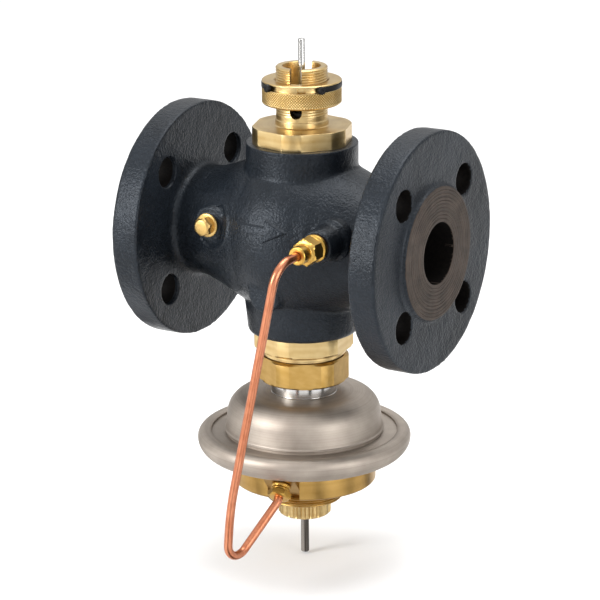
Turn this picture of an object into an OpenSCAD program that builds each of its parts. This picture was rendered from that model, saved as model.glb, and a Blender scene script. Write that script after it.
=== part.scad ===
// Pressure independent control valve: flanged body, actuator neck on top, diaphragm unit below.
// Millimetres. Origin at the centre of the inlet flange face, +X along the flow, +Z up the stem.

/* [Flanges] */
// Length of the body over the two flange faces
body_length = 180; // [170:1:200]
// Outside diameter of a flange
flange_d = 140; // [134:1:150]
// Thickness of a flange behind its raised face
flange_t = 17; // [14:0.5:20]
// Diameter of the raised sealing face
raised_face_d = 78; // [70:1:80]
// Height of the raised sealing face
raised_face_h = 3; // [2:0.5:4]
// Pitch circle of the flange bolts
bolt_circle_d = 100; // [98:1:105]
// Diameter of a flange bolt hole
bolt_hole_d = 18; // [14:0.5:19]
// How much wider the outlet flange is drilled than the inlet flange
outlet_drill_extra = 0.4; // [0.4:0.1:1]
// Flow bore at the flange face
port_d = 36; // [32:1:38]
// Fillet between a flange and its neck
flange_fillet = 4; // [2:0.5:5]

/* [Body casting] */
// Diameter of the round belly
belly_d = 100.4; // [98:0.2:104]
// Wall of the belly
belly_wall = 7; // [5:0.5:8]
// Diameter of the pipe neck where it leaves the flange
pipe_neck_d = 64; // [60:1:68]
// Diameter of the top neck
top_neck_d = 65.2; // [63:0.2:68]
// Height of the top rim over the pipe axis
top_rim_h = 55; // [53:0.5:58]
// Diameter of the bottom neck where it leaves the belly
bottom_neck_d = 69; // [66:0.5:72]
// Diameter of the bottom neck over its chamfer
bottom_neck_foot_d = 65.4; // [63:0.2:68]
// Depth of the bottom rim under the pipe axis
bottom_rim_h = 58.1; // [56:0.1:61]
// Chamfer round the bottom neck
bottom_neck_chamfer = 1.5; // [1:0.5:3]
// Depth at which the bottom neck leaves the belly
bottom_neck_h = 36; // [34:1:40]
// Screwed bore of the top and bottom necks
neck_bore_d = 48; // [46:0.5:50]
// Thickness of the two webs that hold the seats
web_t = 5; // [4:0.5:6]
// Clear height between the two webs
middle_chamber_h = 14; // [12:0.5:16]
// Bore of the middle chamber
middle_chamber_d = 34; // [32:1:36]
// Partition between the inlet and outlet spaces
partition_t = 6; // [4:0.5:8]
// Distance of the tapped ports from the stem axis
tapping_offset = 39.5; // [37:0.5:42]
// Height of the tapped ports over the pipe axis
tapping_h = 9.2; // [6:0.2:12]
// Diameter of the boss round a tapped port
tapping_boss_d = 21; // [19:0.5:23]
// Distance of the boss faces from the pipe axis
tapping_face_y = 40; // [38:0.5:43]
// Drilling of a tapped port
tapping_drill_d = 8; // [6:0.5:9]
// Width of the cast pad at the front
pad_w = 19.4; // [16:0.2:22]
// Height of the cast pad from its flat top to its round foot
pad_h = 18; // [15:0.5:22]
// Depth of the pad's top under the pipe axis
pad_top_h = 19; // [16:0.5:22]
// Distance of the pad's face from the pipe axis
pad_face_y = 45; // [43:0.5:47]

/* [Bonnet and actuator neck] */
// Diameter of the bonnet disc
bonnet_d = 58; // [56:0.5:60]
// Size over two opposite flats of the bonnet
bonnet_af = 55; // [53:0.5:56]
// Height of the bonnet disc
bonnet_disc_h = 10; // [8:0.5:12]
// Room between the opened control plug and the bonnet
plug_room_h = 2.2; // [1:0.2:3]
// Diameter of the threaded actuator neck
actuator_neck_d = 30; // [29:0.5:31]
// Height of the actuator neck over the disc
actuator_neck_h = 34.6; // [33:0.2:36]
// Bore of the actuator neck
actuator_neck_bore_d = 22; // [21:0.5:23]
// Width of the two slots in the actuator neck
slot_w = 7; // [6:0.5:8]
// Height of the slot's round end over the disc
slot_floor_h = 6; // [5:0.5:7]
// Diameter of the turned foot of the actuator neck
neck_foot_d = 30.8; // [30.2:0.2:32]
// Height of the turned foot of the actuator neck
neck_foot_h = 3.5; // [2:0.5:5]
// Diameter of the recess for the stem packing
packing_d = 16; // [14:0.5:17]
// Height of the stem packing
packing_h = 3; // [2:0.5:4]
// Height of the gland ring that holds the packing
gland_h = 3; // [2:0.5:4]
// Floor under the packing
packing_floor_t = 3; // [2:0.5:4]

/* [Setting ring] */
// Outside diameter of the setting ring
setting_ring_d = 46; // [44:0.5:48]
// Height of the setting ring
setting_ring_h = 14; // [13:0.5:15]
// Gap from the bonnet disc to the ring in the position shown
setting_ring_gap = 12.8; // [12:0.2:14]
// Height of the knurled band of the ring
knurl_h = 9.6; // [9:0.2:10]
// Height of the clip groove
clip_groove_h = 3.4; // [3:0.1:3.8]
// Diameter at the floor of the clip groove
clip_groove_d = 42; // [40:0.5:43]
// Chamfer at the bottom edge of the ring
setting_ring_chamfer = 1; // [0.5:0.5:1.5]
// Outside diameter of the clip
clip_d = 46.6; // [46:0.2:48]
// Diameter of the two knobs on the clip's ends
clip_knob_d = 4.6; // [4:0.2:5]
// Length that a clip knob stands out
clip_knob_l = 2.4; // [2:0.2:3]
// Thickness of the stroke limiter
limiter_t = 3; // [2.5:0.5:4]
// Reach of the limiter's lugs from the stem axis
limiter_reach = 17.6; // [17:0.2:18]
// Height of the limiter over the ring's bottom
limiter_lift = 4.2; // [4:0.2:4.6]
// Travel of the setting ring down its thread
setting_travel = 8; // [6:0.5:8]

/* [Control trim] */
// Stroke of the control valve
control_stroke = 10; // [8:0.5:10]
// Diameter of the stem's pin over the actuator neck
stem_pin_d = 4; // [3.5:0.1:4.4]
// Height of the pin over the actuator neck
stem_pin_h = 15.6; // [14:0.2:18]
// Diameter of the stem where it passes the stroke limiter
stem_rod_d = 5; // [4.6:0.1:6]
// Diameter of the control stem inside the bonnet
control_stem_d = 8; // [7:0.5:9]
// Diameter of the collar that carries the return spring
stem_collar_d = 20.8; // [20:0.1:21]
// Thickness of that collar
stem_collar_t = 2.5; // [2:0.5:3]
// Wire of the control spring
control_spring_wire = 1.4; // [1.2:0.1:1.6]
// Outside diameter of a seat ring
seat_ring_d = 32; // [30:0.5:33]
// Bore of the control seat
control_seat_bore_d = 24; // [22:0.5:25]
// Diameter of the flange of a seat ring
seat_flange_d = 38; // [36:0.5:39]
// Thickness of the flange of a seat ring
seat_flange_t = 3; // [2:0.5:4]
// Diameter of the control plug
control_plug_d = 30; // [28:0.5:32]
// Thickness of the control plug's disc
plug_disc_t = 4.5; // [4:0.5:5]
// Length of the contoured skirt under the control plug
plug_skirt_h = 12; // [10:0.5:14]
// Diameter of a plug's hub
plug_hub_d = 14; // [12:0.5:15]
// Height of a plug's hub
plug_hub_h = 4; // [3:0.5:5]

/* [Lower insert and union] */
// Diameter of the insert's disc
insert_d = 58.6; // [57:0.2:60]
// Size over two opposite flats of the insert
insert_af = 54; // [53:0.5:56]
// Height of the insert's disc
insert_disc_h = 9.7; // [8:0.1:11]
// Length of the insert's screwed spigot in the casting
insert_spigot_h = 19; // [17:0.5:20]
// Diameter of the turned ring under the insert's disc
insert_ring_d = 50; // [48:0.5:52]
// Height of that turned ring
insert_ring_h = 5.1; // [4:0.1:6]
// Diameter of the insert's union thread
union_thread_d = 45; // [44:0.5:46]
// Length of the insert's union thread
union_thread_h = 6.8; // [6:0.2:7.6]
// Diameter over the corners of the union nut
union_nut_d = 53.4; // [52:0.2:55]
// Size over flats of the union nut
union_nut_af = 50; // [49:0.5:51]
// Height of the union nut
union_nut_h = 15.6; // [14.6:0.2:17]
// Thickness of the flat gasket in the union
union_gasket_t = 1; // [0.8:0.1:1.5]
// Diameter of the steel neck of the diaphragm unit
unit_neck_d = 38.3; // [37:0.1:39]
// Length of that neck that shows under the nut
unit_neck_h = 7.7; // [6:0.1:9]
// Thickness of the neck's collar inside the nut
unit_collar_t = 4; // [3:0.5:5]
// Bore of the steel neck
unit_neck_bore_d = 24; // [22:0.5:26]
// Height of the stem seal in the insert
insert_seal_h = 4; // [3:0.5:5]
// Diameter of the stem seal in the insert
insert_seal_d = 14; // [13:0.5:16]

/* [Pressure regulator trim] */
// Stroke of the pressure regulator
regulator_stroke = 6; // [5:0.5:6]
// Bore of the regulator's seat
regulator_seat_bore_d = 24; // [22:0.5:25]
// Diameter of the regulator's plug
regulator_plug_d = 30; // [28:0.5:32]
// Diameter of the regulator's stem
regulator_stem_d = 8; // [7:0.5:9]
// Diameter of the pin under the unit
lower_pin_d = 4.9; // [4.5:0.1:5.3]
// Diameter of the regulator's stem inside the base
lower_rod_d = 5.8; // [5.4:0.1:6.4]
// Length of the pin under the unit
lower_pin_h = 25.8; // [22:0.2:28]

/* [Diaphragm unit] */
// Sheet of the upper housing
housing_sheet_t = 2; // [1.5:0.5:2.5]
// Diameter of the upper housing at the end of its shoulder
bell_d = 91; // [89:0.5:93]
// Radius of the shoulder of the upper housing
bell_shoulder_r = 13.5; // [12:0.5:15]
// Diameter of the upper housing at its bottom edge
bell_foot_d = 94.7; // [93:0.1:96]
// Height of the upper housing
bell_h = 22.7; // [21:0.1:25]
// Diameter of the clamp ring's step under the upper housing
clamp_step_d = 92.6; // [92:0.1:93]
// Height of that step over the clamp ring's plate
clamp_step_h = 2.3; // [1.8:0.1:3]
// Thickness of the clamp ring's plate
clamp_plate_t = 2.8; // [2:0.1:3.5]
// Opening in the clamp ring
clamp_opening_d = 80; // [78:1:82]
// Outside diameter of the rolled rim
rim_d = 126.6; // [124:0.2:130]
// Radius of the rim's upper roll
rim_roll_r = 5; // [4.6:0.1:5.4]
// Radius of the lower housing under the rim
rim_under_r = 10; // [9:0.5:10.5]
// Thickness of the diaphragm
diaphragm_t = 1.4; // [1:0.1:1.6]
// Diameter of the diaphragm's clamped edge
diaphragm_d = 114.8; // [113:0.2:116]
// Radius of the diaphragm's rolling fold
diaphragm_fold_r = 3.5; // [3:0.1:3.8]
// Diameter of the two diaphragm plates
diaphragm_plate_d = 60; // [56:0.5:61]
// Thickness of a diaphragm plate
diaphragm_plate_t = 2.5; // [2:0.5:3]
// Wire of the regulator's spring
regulator_spring_wire = 2.6; // [2:0.1:3]
// Mean diameter of the regulator's spring
regulator_spring_d = 48; // [46:0.5:50]

/* [Base of the diaphragm unit] */
// Diameter of the brass base
base_d = 85; // [83:0.5:88]
// Height of the brass base
base_h = 16.8; // [16:0.2:19]
// Chamfer at the bottom edge of the base
base_chamfer = 1; // [0.5:0.5:2]
// Depth of the pressure space in the base
base_space_h = 6; // [4:0.5:6.5]
// Diameter of the pressure space in the base
base_space_d = 68; // [66:0.5:70]
// Diameter of the threaded neck under the base
base_thread_d = 44.8; // [43:0.2:46]
// Length of the threaded neck under the base
base_thread_h = 11.9; // [11:0.1:13]
// Diameter of the fluted collar
fluted_collar_d = 31.5; // [30:0.5:33]
// Height of the fluted collar
fluted_collar_h = 10.2; // [9:0.2:12]
// Width of a flute
flute_w = 1.6; // [1.2:0.1:2]
// Diameter of the fluted collar's screwed part
collar_screw_d = 24; // [22:0.5:26]
// Length of the fluted collar's screwed part
collar_screw_h = 4.8; // [4:0.2:5.4]
// Diameter of the seal round the lower pin
pin_seal_d = 12; // [11:0.5:13]
// Height of the seal round the lower pin
pin_seal_h = 3.8; // [3:0.1:4.2]

/* [Impulse line] */
// Outside diameter of the copper tube
tube_d = 5; // [4.6:0.1:5.2]
// Wall of the copper tube
tube_wall = 1; // [0.8:0.1:1.2]
// Bend radius under the upper fitting
upper_bend_r = 12.6; // [11:0.1:16]
// Bend radius of the long run's slight knee
knee_bend_r = 205; // [120:5:300]
// Bend radius at the bottom of the loop
loop_bend_r = 9.3; // [8:0.1:10]
// Bend radius at the lower fitting
lower_bend_r = 9; // [8:0.5:10]
// Thickness of the sealing washers at the tapped ports
washer_t = 1.5; // [1:0.5:2]
// Diameter of the sealing washers
washer_d = 15; // [14:0.5:16]
// Size over flats of the upper connector
connector_af = 14; // [13:0.5:15]
// Length of the upper connector's hexagon
connector_h = 12.5; // [11:0.5:14]
// Size over flats of the upper tube nut
tube_nut_af = 11; // [10.6:0.2:12]
// Length of the upper tube nut's hexagon
tube_nut_hex_h = 9; // [8:0.5:10]
// Diameter of the upper tube nut's round end
tube_nut_end_d = 10.4; // [10:0.2:11]
// Length of the upper tube nut's round end
tube_nut_end_h = 10; // [9:0.5:11]
// Size over flats of the hexagon on the port plug
plug_af = 10; // [9:0.5:11]
// Length of the hexagon on the port plug
plug_head_h = 6; // [5:0.5:7]
// Diameter of the port plug's flange
plug_flange_d = 14; // [13:0.5:15]
// Thickness of the port plug's flange
plug_flange_t = 1.6; // [1.2:0.2:2]
// Length of the screwed part of a connector or plug
port_screw_h = 8; // [6:0.5:9]
// Width of the boss that carries the lower fitting
lower_boss_w = 19.4; // [18:0.2:21]
// Direction of the lower fitting from the front, towards the outlet
lower_fitting_turn = 13.5; // [10:0.5:17]
// Slope of the lower fitting below the horizontal
lower_fitting_slope = 45; // [42:1:48]
// Distance of the lower boss's face from the stem axis
lower_boss_reach = 45; // [44:0.5:46]
// Depth of the lower boss's centre under the top of the base
lower_boss_drop = 6.5; // [6:0.1:7]
// Diameter of the lower connector's barrel
lower_barrel_d = 11.4; // [11:0.1:11.8]
// Length of the lower connector's barrel
lower_barrel_h = 4; // [3.5:0.1:4.5]
// Length of the lower connector's screwed part
lower_screw_h = 4.5; // [4:0.1:5]
// Drilling from the lower connector to the pressure space
base_passage_d = 3; // [2:0.2:3.2]
// Size over flats of the lower tube nut
lower_nut_af = 12; // [11:0.5:13]
// Length of the lower tube nut
lower_nut_h = 4.4; // [4.2:0.1:5]

/* [Fits] */
// Radial clearance of screwed and pressed joints
joint_gap = 0.1; // [0.05:0.01:0.15]
// Radial clearance of a piece that slides or turns
running_gap = 0.1; // [0.05:0.01:0.1]
// Clearance between bodies that stop against each other
stop_gap = 0.3; // [0.2:0.05:0.5]

/* [Hidden] */
$fn = 96;

// Overrun of every cut past the face it starts from
cut = 0.5;
stem_x = body_length / 2;

// Heights over the pipe axis, from the top of the bonnet down to the lower pin
disc_top_z = top_rim_h + bonnet_disc_h;
neck_top_z = disc_top_z + actuator_neck_h;
pin_top_z = neck_top_z + stem_pin_h;
ring_z = disc_top_z + setting_ring_gap;
limiter_z = ring_z + limiter_lift;
collar_top_z = limiter_z - setting_travel - stop_gap;
web_z = middle_chamber_h / 2;
web_top_z = web_z + web_t;
seat_face_z = web_top_z + seat_flange_t;
control_plug_z = seat_face_z + control_stroke + stop_gap;
regulator_plug_z = -seat_face_z - regulator_stroke - stop_gap;
spigot_z = control_plug_z + plug_disc_t + plug_hub_h + plug_room_h;
packing_z = spigot_z + packing_floor_t;
gland_z = packing_z + packing_h;
spring_floor_z = gland_z + gland_h;
insert_z = -bottom_rim_h;
insert_ring_z = insert_z - insert_disc_h;
union_nut_z = insert_ring_z - insert_ring_h;
union_thread_z = union_nut_z - union_thread_h;
unit_neck_z = union_thread_z - union_gasket_t;
union_lip_z = unit_neck_z - unit_collar_t;
union_nut_foot_z = union_nut_z - union_nut_h;
bell_z = union_nut_foot_z - unit_neck_h;
bell_inside_z = bell_z - housing_sheet_t;
bell_foot_z = bell_z - bell_h;
clamp_plate_z = bell_foot_z - clamp_step_h;
clamp_foot_z = clamp_plate_z - clamp_plate_t;
diaphragm_z = clamp_foot_z - joint_gap;
diaphragm_foot_z = diaphragm_z - diaphragm_t;
rim_z = diaphragm_z;
base_z = rim_z - rim_under_r;
base_foot_z = base_z - base_h;
thread_foot_z = base_foot_z - base_thread_h;
collar_foot_z = thread_foot_z - fluted_collar_h;
pin_foot_z = collar_foot_z - lower_pin_h;

// Radii inside the casting
belly_r = belly_d / 2;
chamber_r = belly_r - belly_wall;
shell_r = middle_chamber_d / 2 + web_t;
feed_edge_x = shell_r + partition_t;
seat_hole_r = seat_ring_d / 2 + joint_gap;

// Outline of the pipe neck: distance from the stem axis and radius, as shares of the belly radius
pipe_neck_shares = [[1.1, 0.665], [0.9, 0.73], [0.7, 0.815], [0.5, 0.888], [0.3, 0.945]];

// Angles about the stem axis, measured from +X
bonnet_turn = -11.5;
insert_turn = -23.5;
union_nut_turn = -27.3;
slot_turn = -73;
clip_start = -31;
clip_sweep = 276;
front = -90;

// Wall of the pocket round the packing and of the nuts round their ferrules
ferrule_wall = 1.2;
tube_r = tube_d / 2;
tube_hole_r = tube_r + joint_gap;
ferrule_r = tube_hole_r + ferrule_wall;
nut_hole_r = ferrule_r + joint_gap;
ferrule_h = 1.4;
nut_cap_t = 1;

// Seal rings round the two screwed spigots
spigot_seal_t = 1.8;
spigot_seal_h = 2.2;
spigot_seal_edge = 1;
spigot_r = neck_bore_d / 2 - joint_gap;

// Diaphragm unit: where its rim closes over the clamp ring and how thick its walls are
rim_lip_shift = 3;
rim_clamp_r = diaphragm_d / 2 + 2 * joint_gap;
under_steps = 8;
under_space_d = 100;
under_floor_t = 2;
under_opening_d = 72;

spring_turns = 5;
regulator_spring_turns = 4;
flutes = 20;

// A bend of the tube is this much thicker than a straight run and takes it in by this length
bend_swell = 0.03;
bend_overlap = 0.3;

// Route of the copper tube: virtual corners between straight runs, then its end in the lower nut
upper_nut_y = -tapping_face_y - washer_t - connector_h;
upper_tube_y = upper_nut_y - tube_nut_hex_h;
upper_corner_reach = 21.2;
upper_corner = [stem_x + tapping_offset,
    upper_tube_y - tube_nut_end_h - upper_corner_reach, tapping_h];
knee_drop = 6;
knee_offset = 6.2;
knee_reach = 50.4;
knee_corner = [stem_x + knee_offset, -base_d / 2 - knee_reach, base_z - knee_drop];
loop_corner_drop = 47.1;
loop_corner_reach = 50;
loop_corner_offset = 2.6;
loop_corner = [stem_x + loop_corner_offset, -base_d / 2 - loop_corner_reach, base_z - loop_corner_drop];
lower_corner_reach = 2.2;

brass = [0.80, 0.66, 0.38];
cast_paint = [0.16, 0.19, 0.24];
stainless = [0.72, 0.70, 0.67];
bright_steel = [0.80, 0.80, 0.80];
copper = [0.80, 0.45, 0.32];
black_plastic = [0.08, 0.08, 0.08];
rubber_black = [0.12, 0.12, 0.13];
fibre_grey = [0.45, 0.45, 0.42];

function unit(v) = v / norm(v);
function arc_points(centre, r, from, to, steps) =
    [for (i = [0:steps]) centre + r * [cos(from + (to - from) * i / steps), sin(from + (to - from) * i / steps)]];
function turn_angle(a, b, c) = acos(unit(b - a) * unit(c - b));
function tangent_length(a, b, c, r) = r * tan(turn_angle(a, b, c) / 2);

module at_stem() {
    translate([stem_x, 0, 0]) children();
}

module between(low, high) {
    translate([0, 0, low]) linear_extrude(height = high - low) children();
}

module ring_between(low, high, outer_r, inner_r) {
    between(low, high) difference() {
        circle(r = outer_r);
        circle(r = inner_r);
    }
}

module disc_with_flats(d, af, h, turn) {
    intersection() {
        cylinder(d = d, h = h);
        rotate(turn) cylinder(r = af / sqrt(3), h = h, $fn = 6);
    }
}

module at_tapping(side) {
    translate([stem_x + side * tapping_offset, -tapping_face_y, tapping_h]) rotate([90, 0, 0]) children();
}

module at_lower_fitting() {
    translate([stem_x, 0, base_z - lower_boss_drop]) rotate(front + lower_fitting_turn)
        translate([lower_boss_reach, 0, 0]) rotate([0, 90 + lower_fitting_slope, 0]) children();
}

// Flange, raised face and pipe neck as one turned outline about the pipe axis
module pipe_end() {
    back_x = raised_face_h + flange_t;
    neck_r = pipe_neck_d / 2;
    neck = [for (s = pipe_neck_shares) [s[1] * belly_r, stem_x - s[0] * belly_r]];
    rotate([0, 90, 0]) rotate_extrude() polygon(concat(
        [[0, 0], [raised_face_d / 2, 0], [raised_face_d / 2, raised_face_h],
            [flange_d / 2, raised_face_h], [flange_d / 2, back_x]],
        arc_points([neck_r + flange_fillet, back_x + flange_fillet], flange_fillet, -90, -180, 4),
        neck,
        [[0, stem_x - pipe_neck_shares[len(pipe_neck_shares) - 1][0] * belly_r]]
    ));
}

module bottom_neck() {
    translate([0, 0, insert_z]) {
        cylinder(d1 = bottom_neck_foot_d - 2 * bottom_neck_chamfer, d2 = bottom_neck_foot_d,
            h = bottom_neck_chamfer);
        translate([0, 0, bottom_neck_chamfer]) cylinder(d1 = bottom_neck_foot_d, d2 = bottom_neck_d,
            h = bottom_rim_h - bottom_neck_h - bottom_neck_chamfer);
    }
}

module cast_pad() {
    translate([0, 0, -pad_top_h]) rotate([90, 0, 0]) linear_extrude(height = pad_face_y) {
        translate([-pad_w / 2, -pad_h + pad_w / 2]) square([pad_w, pad_h - pad_w / 2]);
        translate([0, -pad_h + pad_w / 2]) circle(d = pad_w);
    }
}

module casting_outside() {
    at_stem() {
        sphere(d = belly_d);
        cylinder(d = top_neck_d, h = top_rim_h);
        bottom_neck();
        cast_pad();
    }
    pipe_end();
    translate([body_length, 0, 0]) mirror([1, 0, 0]) pipe_end();
    for (side = [-1, 1]) at_tapping(side)
        translate([0, 0, -tapping_face_y / 2]) cylinder(d = tapping_boss_d, h = tapping_face_y / 2);
}

// Space on the inlet side: under the lower web and beside the middle chamber
module feed_space() {
    intersection() {
        sphere(r = chamber_r);
        union() {
            translate([-chamber_r, -chamber_r, -chamber_r])
                cube([chamber_r + shell_r, 2 * chamber_r, chamber_r - web_top_z]);
            translate([-chamber_r, -chamber_r, -chamber_r])
                cube([chamber_r - shell_r, 2 * chamber_r, chamber_r + web_z]);
        }
    }
}

module port_bore() {
    rotate([0, 90, 0]) {
        translate([0, 0, -cut]) cylinder(d = port_d, h = stem_x - feed_edge_x + cut);
    }
}

module water_way() {
    port_bore();
    translate([body_length, 0, 0]) mirror([1, 0, 0]) port_bore();
    at_stem() {
        feed_space();
        rotate([0, 180, 0]) feed_space();
        between(-web_z, web_z) circle(d = middle_chamber_d);
        between(-web_top_z - cut, web_top_z + cut) circle(r = seat_hole_r);
    }
}

module bolt_holes(d) {
    for (i = [0:3]) rotate([45 + 90 * i, 0, 0]) translate([-cut, bolt_circle_d / 2, 0]) rotate([0, 90, 0])
        cylinder(d = d, h = raised_face_h + flange_t + 2 * cut);
}

module valve_body() {
    color(cast_paint) difference() {
        casting_outside();
        water_way();
        at_stem() {
            between(chamber_r / 2, top_rim_h + belly_r) circle(d = neck_bore_d);
            between(insert_z - belly_r, -chamber_r / 2) circle(d = neck_bore_d);
        }
        bolt_holes(bolt_hole_d);
        translate([body_length, 0, 0]) mirror([1, 0, 0]) bolt_holes(bolt_hole_d + outlet_drill_extra);
        for (side = [-1, 1]) at_tapping(side) {
            translate([0, 0, -tapping_face_y + port_d / 3]) cylinder(d = tapping_drill_d, h = tapping_face_y);
            cylinder(d = tapping_boss_d, h = connector_h);
        }
    }
}

// Bonnet and threaded actuator neck, turned and milled from one brass bar
module bonnet_slots() {
    floor_z = disc_top_z + slot_floor_h + slot_w / 2;
    rotate(slot_turn) {
        translate([-actuator_neck_d, -slot_w / 2, floor_z])
            cube([2 * actuator_neck_d, slot_w, neck_top_z - floor_z + cut]);
        translate([-actuator_neck_d, 0, floor_z]) rotate([0, 90, 0])
            cylinder(d = slot_w, h = 2 * actuator_neck_d);
    }
}

module bonnet() {
    color(brass) at_stem() difference() {
        union() {
            translate([0, 0, top_rim_h]) disc_with_flats(bonnet_d, bonnet_af, bonnet_disc_h, bonnet_turn);
            between(spigot_z, top_rim_h) circle(r = spigot_r);
            between(disc_top_z, disc_top_z + neck_foot_h) circle(d = neck_foot_d);
            between(disc_top_z, neck_top_z) circle(d = actuator_neck_d);
        }
        between(spring_floor_z, neck_top_z + cut) circle(d = actuator_neck_bore_d);
        between(packing_z, spring_floor_z + cut) circle(d = packing_d);
        between(spigot_z - cut, packing_z + cut) circle(r = control_stem_d / 2 + running_gap);
        ring_between(top_rim_h - spigot_seal_edge - spigot_seal_h, top_rim_h - spigot_seal_edge,
            neck_bore_d, spigot_r - spigot_seal_t);
        bonnet_slots();
    }
}

module bonnet_seal() {
    color(rubber_black) at_stem() ring_between(top_rim_h - spigot_seal_edge - spigot_seal_h + joint_gap,
        top_rim_h - spigot_seal_edge - joint_gap, spigot_r, spigot_r - spigot_seal_t + joint_gap);
}

module stem_packing() {
    color(rubber_black) at_stem() ring_between(packing_z, gland_z,
        packing_d / 2 - joint_gap, control_stem_d / 2 + running_gap);
}

module packing_gland() {
    color(brass) at_stem() ring_between(gland_z, spring_floor_z,
        packing_d / 2 - joint_gap, control_stem_d / 2 + running_gap);
}

// A seat ring drops into its web from outside and seats on its flange
module seat_ring(bore_d) {
    ring_between(web_z, web_top_z, seat_ring_d / 2, bore_d / 2);
    ring_between(web_top_z, seat_face_z, seat_flange_d / 2, bore_d / 2);
}

module control_seat() {
    color(stainless) at_stem() seat_ring(control_seat_bore_d);
}

module control_plug() {
    skirt_top_r = control_seat_bore_d / 2 - stop_gap;
    color(stainless) at_stem() translate([0, 0, control_plug_z]) difference() {
        union() {
            cylinder(d = control_plug_d, h = plug_disc_t);
            translate([0, 0, plug_disc_t]) cylinder(d = plug_hub_d, h = plug_hub_h);
            translate([0, 0, -plug_skirt_h])
                cylinder(r1 = skirt_top_r / 2, r2 = skirt_top_r, h = plug_skirt_h);
        }
        cylinder(r = control_stem_d / 2 + joint_gap, h = plug_disc_t + plug_hub_h + cut);
    }
}

module control_stem() {
    pin_r = stem_pin_d / 2;
    rod_r = stem_rod_d / 2;
    stem_r = control_stem_d / 2;
    collar_r = stem_collar_d / 2;
    pin_chamfer = stem_pin_d / 8;
    collar_z = collar_top_z - stem_collar_t;
    rod_top_z = limiter_z + limiter_t + stop_gap;
    color(bright_steel) at_stem() rotate_extrude() polygon([
        [0, control_plug_z], [stem_r, control_plug_z], [stem_r, collar_z], [collar_r, collar_z],
        [collar_r, collar_top_z], [rod_r, collar_top_z], [rod_r, rod_top_z], [pin_r, rod_top_z],
        [pin_r, pin_top_z - pin_chamfer], [pin_r - pin_chamfer, pin_top_z], [0, pin_top_z]]);
}

// One unbroken round wire, swept along a helix from the lower to the upper seat of the spring
module spring_wire(mean_r, wire_d, low, high, turns) {
    sides = 6;
    rings = 10;
    count = turns * rings;
    first_z = low + wire_d / 2;
    rise = high - low - wire_d;
    points = [for (i = [0:count]) let (a = 360 * i / rings, z = first_z + rise * i / count)
        for (j = [0:sides - 1]) let (b = 360 * j / sides, r = mean_r + wire_d / 2 * cos(b))
            [r * cos(a), r * sin(a), z + wire_d / 2 * sin(b)]];
    walls = [for (i = [0:count - 1]) for (j = [0:sides - 1]) let (k = (j + 1) % sides)
        each [[i * sides + j, (i + 1) * sides + j, (i + 1) * sides + k],
            [i * sides + j, (i + 1) * sides + k, i * sides + k]]];
    ends = [for (j = [1:sides - 2]) each [[0, j, j + 1],
        [count * sides, count * sides + j + 1, count * sides + j]]];
    echo(str("least gap between turns: ", rise / turns - wire_d));
    polyhedron(points = points, faces = concat(walls, ends));
}

module control_spring() {
    mean_r = (actuator_neck_bore_d + packing_d) / 4 + stop_gap / 2;
    color(bright_steel) at_stem() spring_wire(mean_r, control_spring_wire,
        spring_floor_z + stop_gap, collar_top_z - stem_collar_t - stop_gap, spring_turns);
}

module stroke_limiter() {
    lug_w = slot_w - 2 * stop_gap;
    color(stainless) at_stem() translate([0, 0, limiter_z]) difference() {
        union() {
            cylinder(r = actuator_neck_bore_d / 2 - stop_gap, h = limiter_t);
            intersection() {
                rotate(slot_turn) translate([-limiter_reach, -lug_w / 2, 0])
                    cube([2 * limiter_reach, lug_w, limiter_t]);
                cylinder(r = limiter_reach, h = limiter_t);
            }
        }
        translate([0, 0, -cut]) cylinder(r = stem_rod_d / 2 + stop_gap, h = limiter_t + 2 * cut);
    }
}

module setting_ring() {
    ring_r = setting_ring_d / 2;
    groove_z = knurl_h + clip_groove_h;
    shoulder_z = limiter_lift + limiter_t + stop_gap;
    bore_r = actuator_neck_d / 2 + running_gap;
    color(brass) at_stem() translate([0, 0, ring_z]) rotate_extrude() polygon([
        [limiter_reach + stop_gap, 0], [ring_r - setting_ring_chamfer, 0], [ring_r, setting_ring_chamfer],
        [ring_r, knurl_h], [clip_groove_d / 2, knurl_h], [clip_groove_d / 2, groove_z],
        [ring_r, groove_z], [ring_r, setting_ring_h - setting_ring_chamfer / 2],
        [ring_r - setting_ring_chamfer / 2, setting_ring_h], [bore_r, setting_ring_h],
        [bore_r, shoulder_z], [limiter_reach + stop_gap, shoulder_z]]);
}

module lock_clip() {
    clip_r = clip_d / 2;
    inner_r = clip_groove_d / 2 + joint_gap;
    low = ring_z + knurl_h + joint_gap;
    high = ring_z + knurl_h + clip_groove_h - joint_gap;
    color(black_plastic) at_stem() {
        rotate(clip_start) rotate_extrude(angle = clip_sweep)
            translate([inner_r, low]) square([clip_r - inner_r, high - low]);
        for (a = [clip_start, clip_start + clip_sweep])
            rotate(a) translate([setting_ring_d / 2 + joint_gap, 0, (low + high) / 2 - joint_gap])
                rotate([0, 90, 0]) cylinder(d = clip_knob_d, h = clip_knob_l);
    }
}

// Lower insert: screwed spigot, disc with flats, turned ring and union thread
module valve_insert() {
    stem_hole_r = regulator_stem_d / 2 + running_gap;
    seal_floor_z = insert_z + insert_spigot_h - packing_floor_t;
    color(brass) at_stem() difference() {
        union() {
            between(insert_ring_z, insert_z + insert_spigot_h) circle(r = spigot_r);
            translate([0, 0, insert_ring_z]) disc_with_flats(insert_d, insert_af, insert_disc_h, insert_turn);
            between(union_nut_z, insert_z - insert_disc_h / 2) circle(d = insert_ring_d);
            between(union_thread_z, insert_z - insert_disc_h / 2) circle(d = union_thread_d);
        }
        between(union_thread_z - cut, insert_z) circle(d = unit_neck_bore_d);
        between(insert_z - cut, seal_floor_z) circle(d = insert_seal_d);
        between(seal_floor_z - cut, insert_z + insert_spigot_h + cut) circle(r = stem_hole_r);
        ring_between(insert_z + spigot_seal_edge, insert_z + spigot_seal_edge + spigot_seal_h,
            neck_bore_d, spigot_r - spigot_seal_t);
    }
}

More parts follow.
